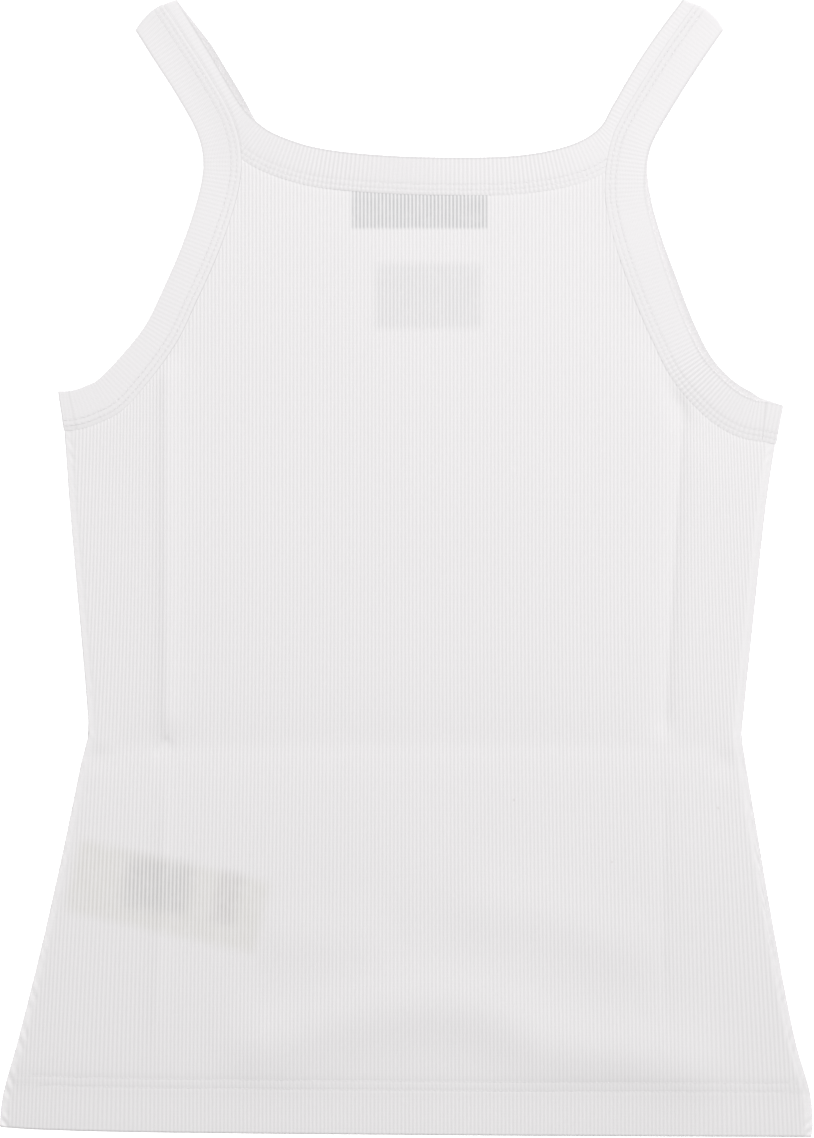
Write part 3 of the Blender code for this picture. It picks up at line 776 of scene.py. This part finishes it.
hem = {
    "rows": ((-206.6, 5), (-183, 3.6), (-120, 2.2), (46, 0.7), (206.9, 0)),
    "depth": 25,
    "rise": 0.05,
    "stepOver": 3,
    "needleRows": (22.9, 27.5),  # above its edge
    "grooveReach": 0.6,
    "grooveDepth": 0.035,
    "rowPinch": 0.6,  # the ribs are flatter along the needle rows and at the edge
    "edgePinch": 0.35,
    "rowShaded": 0.05,
    "fold": (5.5, 0.1),  # reach and strength of the shade round the fold's upper edge
    "edgeRound": 1,
}
ribs = {
    "rise": 0.26,
    "underRise": 0.3,
    "furrow": 1,  # a layer's thickness under its furrows
    "seamDip": (0.8, 1.6, 0.03),  # the cloth is pulled down beside a binding: place, reach and depth
    "seamFade": 0.6,  # and its ribs are flatter, over this distance
    "seamOver": 2.2,
    "seamRound": 0.42,
    "spread": 0.035,  # the ribs stand this share wider at the hem than at the chest
    "spreadTop": 300,
    "leanLeft": (-118, 55, 0.030),  # where the lean starts, over what distance, and its slope
    "leanRight": (134, 55, -0.045),
    "leanMiddle": 200,
}
# Creases and swells of the back, as soft ridges and troughs along lines: points, rise, reach on
# the left of the way and on its right, length over which the ends fade, and roundness.
creases = {
    "leftLong": (((-122.6, 404), (-122.6, 300), (-122.6, 200)), 0.97, 4.8, 2.8, 16, 0.7),
    "leftLow": (((-122.1, 196), (-124, 140), (-127.7, 70), (-131, 30)), 0.45, 3.5, 3, 40, 0.5),
    "rightLong": (
        ((141.8, 392), (139, 340), (136.1, 288), (133.3, 240), (131.2, 199)),
        -1.15, 3.3, 4.8, 16, 0.35,
    ),
    "rightSwell": (((143, 430), (136, 300), (131, 160)), 0.45, 30, 30, 50, 2),
    "rightLow": (((131.9, 194), (130.8, 105.7), (131.5, 50)), -0.36, 2.2, 3, 40, 0.5),
    "waist": (((-158, 198.4), (-60, 200.1), (60, 200.4), (168, 198.9)), -0.5, 10.5, 6, 14, 0.8),
    "waistNick": (((-120.8, 204.6), (-129.2, 194.6)), -0.5, 1.5, 1.5, 4, 0.5),
    "waistTuck": (((-118.6, 203), (-122.4, 193)), -0.25, 1.3, 1.3, 4, 0.5),
    "hipRidge": (
        ((-105, 52), (-69.6, 47.1), (-33.9, 58.8), (1.8, 66.4), (37.5, 63.9), (73.2, 46.5),
         (108.9, 41.4), (144.6, 35.3), (172, 28)),
        1.7, 7.5, 7, 34, 3,
    ),
    "hipSecond": (
        ((12, 119), (37.5, 116), (73.2, 111.8), (108.9, 98.1), (136, 86)),
        0.9, 7, 7, 30, 3,
    ),
    "hipThird": (((-84, 101), (-69.6, 103.2), (-33.9, 100.6), (-2, 106)), 0.6, 6, 6, 24, 3),
}
dents = {  # soft hollows: x, height, half lengths across and up, depth
    "leftHip": (-157, 194, 7, 5, 0.5),
    "rightHip": (163, 191, 7, 5, 0.5),
    "hemHollow": (104, 26, 34, 9, 0.4),
}
# The front lies on the surface, so its creases are hollows in its outer face.
frontCreaseLines = {
    "leftLong": (((-120, 384), (-119.5, 290), (-119, 206)), -0.5, 3, 3, 18, 0.5),
    "rightLong": (((138, 378), (134.5, 290), (131, 206)), -0.5, 3, 3, 18, 0.5),
    "waist": (((-156, 203), (0, 204.5), (166, 203)), -0.4, 5, 8, 14, 0.5),
    "hipHollow": (((-90, 78), (-20, 92), (60, 88), (130, 66)), -0.6, 6, 6, 34, 3),
}
creaseFade = {"narrow": 11, "broad": 32, "broadFrom": 20, "front": 5}  # distances from a binding


def ribLine(rib, height):
    # x of a rib: it spreads toward the hem and leans beyond the two long creases.
    x = rib * (1 + ribs["spread"] * smoothStep((ribs["spreadTop"] - height) / ribs["spreadTop"]))
    for key, sign in (("leanLeft", -1), ("leanRight", 1)):
        start, over, slope = ribs[key]
        x = x + slope * smoothStep(sign * (rib - start) / over) * (height - ribs["leanMiddle"])
    return x


def lineInterp(points, side):
    # A function of x from a line's points, level beyond its end on this side and open on the other.
    x, y = points[np.argsort(points[:, 0])].T
    left, right = y[0] if side < 0 else 1e3, y[-1] if side > 0 else 1e3
    return lambda at: np.interp(at, x, y, left=left, right=right)


def panelTop(layer, tuck=0.6):
    # The panel's upper edge as a function of x, a little way in under the bindings.
    left, right, neck = (seamLine(layer[key], -tuck) for key in ("left", "right", "neck"))
    left = left[: np.argmax(left[:, 0]) + 1]
    right = right[: np.argmin(right[:, 0]) + 1]
    parts = [lineInterp(left, -1), lineInterp(right, 1), lineInterp(neck, 0)]
    return lambda x: np.minimum.reduce([part(x) for part in parts])


sideCurve = curveThrough(sides["rows"], 8)[::-1]
sideSlope = np.gradient(sideCurve[:, 1:], sideCurve[:, 0], axis=0)
hemCurve = curveThrough(hem["rows"])


def sideAt(height, column):
    return np.interp(height, sideCurve[:, 0], sideCurve[:, column])


def hemAt(x):
    return np.interp(x, hemCurve[:, 0], hemCurve[:, 1])


def sideDistances(x, height):
    # Distance in from each side seam, square to it.
    result = []
    for column, sign in ((1, 1), (2, -1)):
        slope = np.interp(height, sideCurve[:, 0], sideSlope[:, column - 1])
        result.append(sign * (x - sideAt(height, column)) / np.sqrt(1 + slope**2))
    return result


def ladderEnds(rib, low, high, top, step=0.5):
    # Where each rib line enters and leaves the outline between two heights.
    ladder = np.arange(low, high + step / 2, step)
    x = ribLine(rib[None], ladder[:, None])
    up = ladder[:, None]
    room = np.minimum.reduce([x - sideAt(up, 1), sideAt(up, 2) - x, top(x) - up, up - hemAt(x)])
    inside = room > 0
    found = inside.any(axis=0)
    first, last = inside.argmax(axis=0), len(ladder) - 1 - inside[::-1].argmax(axis=0)
    at = np.arange(len(rib))

    def crossing(within, beyond):
        beyond = np.clip(beyond, 0, len(ladder) - 1)
        near, far = room[within, at], room[beyond, at]
        share = np.where(far < 0, near / np.maximum(near - far, 1e-9), 0)
        return ladder[within] + (ladder[beyond] - ladder[within]) * share

    return found, crossing(first, first - 1), crossing(last, last + 1)


def rowHeights(low, high, fromLow, fromHigh, middle):
    # Rows up each rib line: at set distances from its ends and even between, closer on short ones.
    length = high - low
    total = len(fromLow) + middle + len(fromHigh)
    share = np.linspace(0, 1, total)[:, None]
    lower = np.minimum(np.array(fromLow)[:, None], length * share[: len(fromLow)])
    upper = length - np.minimum(np.array(fromHigh)[:, None], length * (1 - share[-len(fromHigh):]))
    between = np.linspace(0, 1, middle + 2)[1:-1, None]
    return low + np.concatenate([lower, lower[-1] + (upper[0] - lower[-1]) * between, upper])


def creaseRise(x, height, crease):
    # Rise of one crease: its own rise times exp(r - sqrt(r^2 + t^2)), where r is its roundness
    # and t the distance from its line over the reach on that side, fading at both ends.
    points, rise, leftReach, rightReach, fade, roundness = crease
    points = curveThrough(points, 6)
    starts, steps = points[:-1], np.diff(points, axis=0)
    before = lengthsAlong(points)
    best = np.full(x.shape, 1e6)
    side, along = np.zeros(x.shape), np.zeros(x.shape)
    for start, step, length, done in zip(starts, steps, np.diff(before), before):
        dx, dy = x - start[0], height - start[1]
        share = np.clip((dx * step[0] + dy * step[1]) / length**2, 0, 1)
        away = np.hypot(dx - share * step[0], dy - share * step[1])
        nearer = away < best
        best = np.where(nearer, away, best)
        side = np.where(nearer, step[0] * dy - step[1] * dx, side)
        along = np.where(nearer, done + share * length, along)
    t = best / np.where(side > 0, leftReach, rightReach)
    ends = smoothStep(along / fade) * smoothStep((before[-1] - along) / fade)
    return rise * ends * np.exp(roundness - np.sqrt(roundness**2 + t**2))


def softLie(x, height):
    # The cloth's own slow unevenness, as three crossing sine waves.
    return 0.07 * (
        np.sin(x / 31 + height / 57) + np.sin(height / 43 - x / 83 + 1.3) + np.sin(x / 19 - height / 37 + 4)
    )


def backCreases(x, height, topAway):
    # Creases end at a binding, and broad swells fade out well before it.
    near, far = (smoothStep(topAway / creaseFade[key]) for key in ("narrow", "broad"))
    rise = softLie(x, height) * far
    for crease in creases.values():
        rise = rise + creaseRise(x, height, crease) * (far if crease[2] > creaseFade["broadFrom"] else near)
    for dentX, dentHeight, across, up, depth in dents.values():
        rise = rise - depth * np.exp(-(((x - dentX) / across) ** 2) - ((height - dentHeight) / up) ** 2)
    return rise


def frontCreases(x, height, topAway):
    rise = sum(creaseRise(x, height, crease) for crease in frontCreaseLines.values())
    return rise * smoothStep(topAway / creaseFade["front"])


def panelShare(side, aboveHem):
    # How high the ribs stand: flat at the sides, and pinched by the hem's stitches and its edge.
    pinched = hem["rowPinch"] * np.clip(rowGrooves(aboveHem, hem), 0, 1)
    atEdge = hem["edgePinch"] * smoothStep((3 - aboveHem) / 2)
    return smoothStep((side - sides["ribsFrom"]) / sides["ribsOver"]) * (1 - pinched) * (1 - atEdge)


def panelShaded(x, height, left, right, aboveHem):
    # Painted shade at the side edges, along the hem's needle rows, round its fold's upper edge and low down.
    atLeft, atRight = sides["edgeShaded"]
    dark = atLeft * bell(left, sides["edgeReach"]) + atRight * bell(right, sides["edgeReach"])
    dark = dark + hem["rowShaded"] * rowGrooves(aboveHem, hem)
    # painted light over the side seam allowance, where its table is below 0
    allowance = smoothStep(1 - np.minimum(left, right) / sides["allowanceReach"])
    dark = dark + fromTable(height, sides["allowanceShaded"]) * allowance
    # painted shade low down, twice as strong on the right
    start, over = sides["paintedLowShadeRight"]
    dark = dark + fromTable(height, sides["paintedLowShade"]) * (1 + smoothStep((x - start) / over))
    return dark + swell(aboveHem, hem["depth"], *hem["fold"])


def puckersAt(height, side):
    # Short slanted waves along the seam allowance, stronger below the waist.
    slanted = (height + sides["puckerSlope"] * side) / sides["puckerPitch"]
    waves = np.sin(2 * np.pi * slanted + 2.2 * np.sin(height / 17)) * np.sin(height / 7.3 + 1)
    low = smoothStep((garment["waist"] + 10 - height) / 60)
    upper = sides["puckerUpper"]
    return swell(side, *sides["puckers"]) * (upper + (1 - upper) * low) * waves


def panelHeights(rib, x, height, top, rise, seenCreases):
    # Height of a panel's outer face over its inner one: cloth, ribs, creases, the doubled hem with
    # its needle grooves, and edges that roll over at the sides and at the hem.
    side = np.minimum(*sideDistances(x, height))
    aboveHem = height - hemAt(x)
    topAway = top(x) - height
    show = panelShare(side, aboveHem) * (1 - ribs["seamFade"] * smoothStep(1 - topAway / ribs["seamOver"]))
    level = ribs["furrow"] + rise * show * ribProfile(rib / panelPitch)
    level = level + hem["rise"] * smoothStep((hem["depth"] + 1.5 - aboveHem) / hem["stepOver"])
    level = level - hem["grooveDepth"] * rowGrooves(aboveHem, hem)
    level = level + seenCreases(x, height, topAway) + puckersAt(height, side) * smoothStep(topAway / 5)
    level = level + swell(side, *sides["seam"]) + swell(side, *sides["allowance"])
    level = np.maximum(level - swell(topAway, *ribs["seamDip"]), 0.25)
    level = level * edgeRoll(side, sides["rollReach"]) * edgeRoll(aboveHem, hem["edgeRound"])
    return level * edgeRoll(topAway, ribs["seamRound"])


def panelLevels(outward, side, height, thick, most):
    # Levels of the outer face and of the inner one. The front's is higher in its hem and at its
    # sides, and its outer face comes down to the surface where it has its most thickness.
    if outward > 0:
        inner = np.full(height.shape, garment["backInner"])
        return inner + thick, inner
    doubled = smoothStep((hem["depth"] + 2 - height) / 3)
    inner = garment["frontInner"] + (garment["hemInner"] - garment["frontInner"]) * doubled
    inner = inner + (garment["backInner"] - inner) * smoothStep(1 - side / 1.5)
    return np.maximum(0, inner - thick * inner / most), inner


rowPlan = {  # from one height to another, rows up from the one and down from the other, and rows between
    "lower": (
        -2, garment["waist"],
        (0, 0.12, 0.4, 0.85, 1.4, 3, 7, 12, 17, 20.8, 21.9, 22.4, 22.9, 23.4, 23.9, 24.6, 25.4,
         26.2, 27, 27.5, 28, 28.8, 31.5),
        (12, 9, 6.5, 4.6, 3.2, 2, 1, 0), 29,
    ),
    "upper": (
        garment["waist"], 530,
        (0, 1.5, 3.5, 6, 9, 13, 18), (5, 2.6, 1.3, 0.65, 0.45, 0.2, 0), 42,
    ),
}


def panelGrids(top):
    # The panel below and above its waist: rib lines as columns, with rows at set heights.
    count = int((np.abs(sideCurve[:, 1:]).max() + 8) / panelPitch)
    rib = ribStations(np.arange(-count, count)) * panelPitch
    grids = []
    for low, high, *plan in rowPlan.values():
        found, bottom, end = ladderEnds(rib, low, high, top)
        found &= end - bottom > 0.3
        height = rowHeights(bottom[found], end[found], *plan)
        lines = np.broadcast_to(rib[found], height.shape)
        x = ribLine(lines, height)
        grids.append({"number": np.flatnonzero(found), "rib": lines, "height": height, "x": x})
    return grids


def panelPiece(name, layer, outward, rise, seenCreases, material, node):
    # Two grids of rib lines joined at the waist, and one plain inner face round their edge.
    top, waist = panelTop(layer), garment["waist"]
    lower, upper = grids = panelGrids(top)
    shared = np.intersect1d(lower["number"], upper["number"])
    inLower, inUpper = (np.searchsorted(grid["number"], shared) for grid in grids)
    joined = np.isclose(lower["height"][-1, inLower], waist) & np.isclose(upper["height"][0, inUpper], waist)
    inLower, inUpper = inLower[joined], inUpper[joined]
    low = np.arange(lower["x"].size).reshape(lower["x"].shape)
    high = low.size + np.arange(upper["x"].size).reshape(upper["x"].shape)
    high[0, inUpper] = low[-1, inLower]  # the waist's points are the lower grid's
    made = []
    for grid, at in ((lower, low), (upper, high)):
        x, height = grid["x"], grid["height"]
        left, right = sideDistances(x, height)
        side, aboveHem = np.minimum(left, right), height - hemAt(x)
        thick = panelHeights(grid["rib"], x, height, top, rise, seenCreases)
        outer, inner = panelLevels(outward, side, height, thick, ribs["furrow"] + rise)
        made.append({
            "points": toFrame(x, height, outer).reshape(-1, 3),
            "places": np.stack([grid["rib"], height], axis=-1).reshape(-1, 2) * mm,
            "inner": inner.ravel() * mm,
            "ribShow": panelShare(side, aboveHem).ravel(),
            "shaded": panelShaded(x, height, left, right, aboveHem).ravel(),
            "quads": fourCorners(at),
        })
    whole = {key: np.concatenate([part[key] for part in made]) for key in made[0]}
    # round the edge: up the right side, over the top, down the left side and along the hem
    first, last = inLower[0], inLower[-1]
    loop = np.concatenate([
        low[0], low[-1, :last:-1], high[0, inUpper[-1]:],
        high[-1, ::-1], high[0, :inUpper[0] + 1], low[-1, first - 1::-1] if first > 0 else [],
    ]).astype(int)
    points = whole["points"]
    points[loop, 2] = whole["inner"][loop]
    points[[low[-1, first], low[-1, last]], 0] = np.array([sideAt(waist, 1), sideAt(waist, 2)]) * mm
    used, renumbered = np.unique(whole["quads"], return_inverse=True)
    number = np.full(len(points), -1)
    number[used] = np.arange(len(used))
    quads, loop = renumbered.reshape(-1, 4), number[loop]
    if outward < 0:
        quads = quads[:, ::-1]
    else:
        loop = loop[::-1]
    corners = np.concatenate([quads.ravel(), loop])
    shares = {}
    for key, inside in (("ribShow", 0.8), ("shaded", 0)):
        shares[key] = whole[key][used][corners]
        shares[key][quads.size:] = inside
    piece = pieceFrom(
        name, points[used], quads.tolist() + [loop.tolist()], whole["places"][used][corners],
        material, node, [len(quads)], shares,
    )
    x, y = points[used][loop, :2].T
    return piece, abs(float(np.sum(x * np.roll(y, -1) - y * np.roll(x, -1)))) / 2


backPiece, backArea = panelPiece(
    "backPanel", layers["back"], 1, ribs["rise"], backCreases, backCloth, "back_panel",
)
frontPiece, frontArea = panelPiece(
    "frontPanel", layers["front"], -1, ribs["underRise"], frontCreases, frontCloth, "front_panel",
)
print("panels ready:", [len(piece.data.polygons) for piece in (backPiece, frontPiece)])

labels = {  # node, x, height, width, depth, turn
    "neckLabel": ("neck_label", 7.8, 471.4, 67, 18.5, 0),
    "sizeLabel": ("size_label", 11.2, 428.8, 55, 32, 0),
    "careLabel": ("care_label", -118.7, 122, 92, 34, -12),
}
labelLook = {"columns": 60, "rows": 24, "margin": 0.05, "wave": 0.04}


def labelPiece(name, node, x, height, width, depth, turn):
    # A flat tape with a slight wave, given its thickness afterwards.
    columns, rows = labelLook["columns"], labelLook["rows"]
    u, v = np.meshgrid(*(np.linspace(-0.5, 0.5, count) for count in (columns, rows)))
    u, v = u.ravel(), v.ravel()
    places = np.stack([u * width, v * depth], axis=1)
    flat = turnedBy(places, turn) + (x, height)
    low, high = (corner.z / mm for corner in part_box(node))
    level = low + labelLook["margin"] + labelLook["wave"] * np.sin(u * 9) * np.cos(v * 5)
    quads = fourCorners(np.arange(columns * rows).reshape(rows, columns))
    points = toFrame(flat[:, 0], flat[:, 1], level)
    piece = pieceFrom(name, points, quads.tolist(), places[quads.ravel()] * mm, tape, node)
    wall = piece.modifiers.new("thickness", "SOLIDIFY")
    wall.thickness = (high - low - 2 * labelLook["margin"]) * mm
    wall.offset = 1
    return piece


labelPieces = [labelPiece(name, *spec) for name, spec in labels.items()]
print("labels ready")

sewing = {
    "stitch": 2.75,
    "gap": 0.25,
    "radius": 0.17,
    "end": (1.12, 0, -0.2),  # place along in half stitches, size and dip
    "rings": ((-1, 0.45, -0.16), (-0.7, 0.95, -0.03), (0.7, 0.95, -0.03), (1, 0.45, -0.16)),
    "sides": 5,
    "lift": 0.05,  # over the bottom of a binding's groove
    "hemLift": 0.04,
    "underLeast": 0.25,  # lowest level under the front's bindings, and the level under its hem
    "underHem": 0.32,
}


def stitchShape():
    # One stitch, a short rounded tube between two end points: each point's place along, to the
    # side and up, with its dip, and the faces.
    end, size, dip = sewing["end"]
    count, ringCount = sewing["sides"], len(sewing["rings"])
    angle = np.linspace(0, 2 * np.pi, count, endpoint=False)
    shape = [(-end, size, size, dip)]
    shape += [(t, r * math.cos(a), r * math.sin(a), sink) for t, r, sink in sewing["rings"] for a in angle]
    shape += [(end, size, size, dip)]
    last = 1 + ringCount * count
    turns = [(k, (k + 1) % count) for k in range(count)]
    faces = [
        (low + a, low + a + count, low + b + count, low + b)
        for low in range(1, last - count, count) for a, b in turns
    ]
    for a, b in turns:
        faces += [(0, 1 + a, 1 + b), (last, last - count + b, last - count + a)]
    return np.array(shape), faces


def stitchRow(line, up, shape):
    # Stitches laid end to end along a line of points, each dipping at both ends.
    along = lengthsAlong(line)
    count = int(along[-1] / (sewing["stitch"] + sewing["gap"]))
    middle = (np.arange(count) + 0.5) * along[-1] / count
    centre = atLengths(line, along, middle)
    way = unit(atLengths(line, along, middle + 0.8) - atLengths(line, along, middle - 0.8))
    sideways = unit(np.cross(np.array([0, 0, up])[None], way))
    raised = np.cross(way, sideways)
    t, b, c, sink = (part[None, :, None] for part in shape.T)
    return (
        centre[:, None] + way[:, None] * t * sewing["stitch"] / 2
        + sideways[:, None] * b * sewing["radius"] + raised[:, None] * (c * sewing["radius"] + sink)
    )


def stitchPiece(name, rows):
    # All the rows as one joined mesh.
    shape, template = stitchShape()
    points = np.concatenate([stitchRow(line, up, shape) for line, up in rows]).reshape(-1, 3)
    starts = range(0, len(points), len(shape))
    faces = [[start + corner for corner in face] for start in starts for face in template]
    place = np.stack([shape[:, 0] * sewing["stitch"] / 2, np.zeros(len(shape))], axis=1) * mm
    corners = np.concatenate(template)
    places = np.tile(place[corners], (len(starts), 1))
    return pieceFrom(name, toFrame(*points.T), faces, places, thread)


def needleLines(band, spec, thick):
    # The two rows of one strip, where it still has its full width.
    rows = []
    for row in bandLook["needleRows"]:
        seen = band["width"] > band["full"] - row + bandLook["coverLeast"]
        flat = (band["path"] + band["across"] * (band["full"] - row)[:, None])[seen]
        height = bandHeights(band, spec, {**thick, "rib": 0}, band["full"][:, None] - row, False)[seen, 0]
        level = bandLevel(height + sewing["lift"], thick, sewing["underLeast"])
        rows.append((np.column_stack([flat, level]), -1 if thick["hangs"] else 1))
    return rows


def hemLines(under):
    # The hem's two rows, in the back's outer face or under the front.
    rows = []
    x = np.linspace(-200, 200, 400)
    for row in hem["needleRows"]:
        height = hemAt(x) + row
        if under:
            level = np.full(len(x), sewing["underHem"])
        else:
            furrow = np.full(len(x), panelPitch / 2)
            thick = panelHeights(furrow, x, height, lambda at: at * 0 + 1e3, 0, backCreases)
            level = garment["backInner"] + thick + sewing["hemLift"]
        rows.append((np.column_stack([x, height, level]), -1 if under else 1))
    return rows


sewn = {
    key: stitchPiece(key + "Stitches", sum((needleLines(*strip) for strip in strips), []))
    for key, (piece, strips) in bindings.items()
}
sewn["backHem"] = stitchPiece("backHemStitches", hemLines(False))
sewn["frontHem"] = stitchPiece("frontHemStitches", hemLines(True))
print("sewing ready:", {name: len(piece.data.polygons) for name, piece in sewn.items()})


studio = {
    "floorSize": 6,
    "floorLevel": -0.0002,
    "floorShader": {
        "Base Color": (0.9, 0.9, 0.9, 1), "Roughness": 1, "Specular IOR Level": 0,
        "Emission Color": (1, 1, 1, 1), "Emission Strength": 0.8,
    },
    "sky": 0.305,
    "lampPower": 172,
    "lampPlace": (1.15, 2.25, 3.5),
    "lampSize": (2.6, 2.2),
    "lens": 200,
    "sensor": 36,
    "seen": 0.58038,  # height of the view, on this level
    "seenLevel": 0.003,
    "centre": (0.00027, -0.00019),
}


def makeFloor():
    # A plain pale floor that glows a little.
    half, level = studio["floorSize"] / 2, studio["floorLevel"]
    mesh = bpy.data.meshes.new("floor")
    corners = [(x, y, level) for x, y in ((-half, -half), (half, -half), (half, half), (-half, half))]
    mesh.from_pydata(corners, [], [(0, 1, 2, 3)])
    material, tree = newMaterial("paleFloor")
    setInputs(tree, tree.nodes["Principled BSDF"], studio["floorShader"])
    mesh.materials.append(material)
    newObject("floor", mesh)


def makeLight():
    world = bpy.data.worlds.new("studio")
    bpy.context.scene.world = world
    world.use_nodes = True
    setInputs(world.node_tree, world.node_tree.nodes["Background"], {0: (1, 1, 1, 1), 1: studio["sky"]})
    lamp = bpy.data.lights.new("overhead", "AREA")
    lamp.shape = "RECTANGLE"
    lamp.size, lamp.size_y = studio["lampSize"]
    lamp.energy = studio["lampPower"]
    holder = newObject("overhead", lamp)
    holder.location = studio["lampPlace"]
    holder.rotation_euler = (-Vector(studio["lampPlace"])).to_track_quat("-Z", "Y").to_euler()


def makeCamera():
    data = bpy.data.cameras.new("camera")
    data.lens, data.sensor_width = studio["lens"], studio["sensor"]
    data.clip_end = 20
    camera = newObject("camera", data)
    distance = studio["seen"] * studio["lens"] / studio["sensor"] + studio["seenLevel"]
    camera.location = (*studio["centre"], distance)
    bpy.context.scene.camera = camera


makeFloor()
makeLight()
makeCamera()
bpy.context.scene.view_settings.view_transform = "Standard"
print("studio ready")
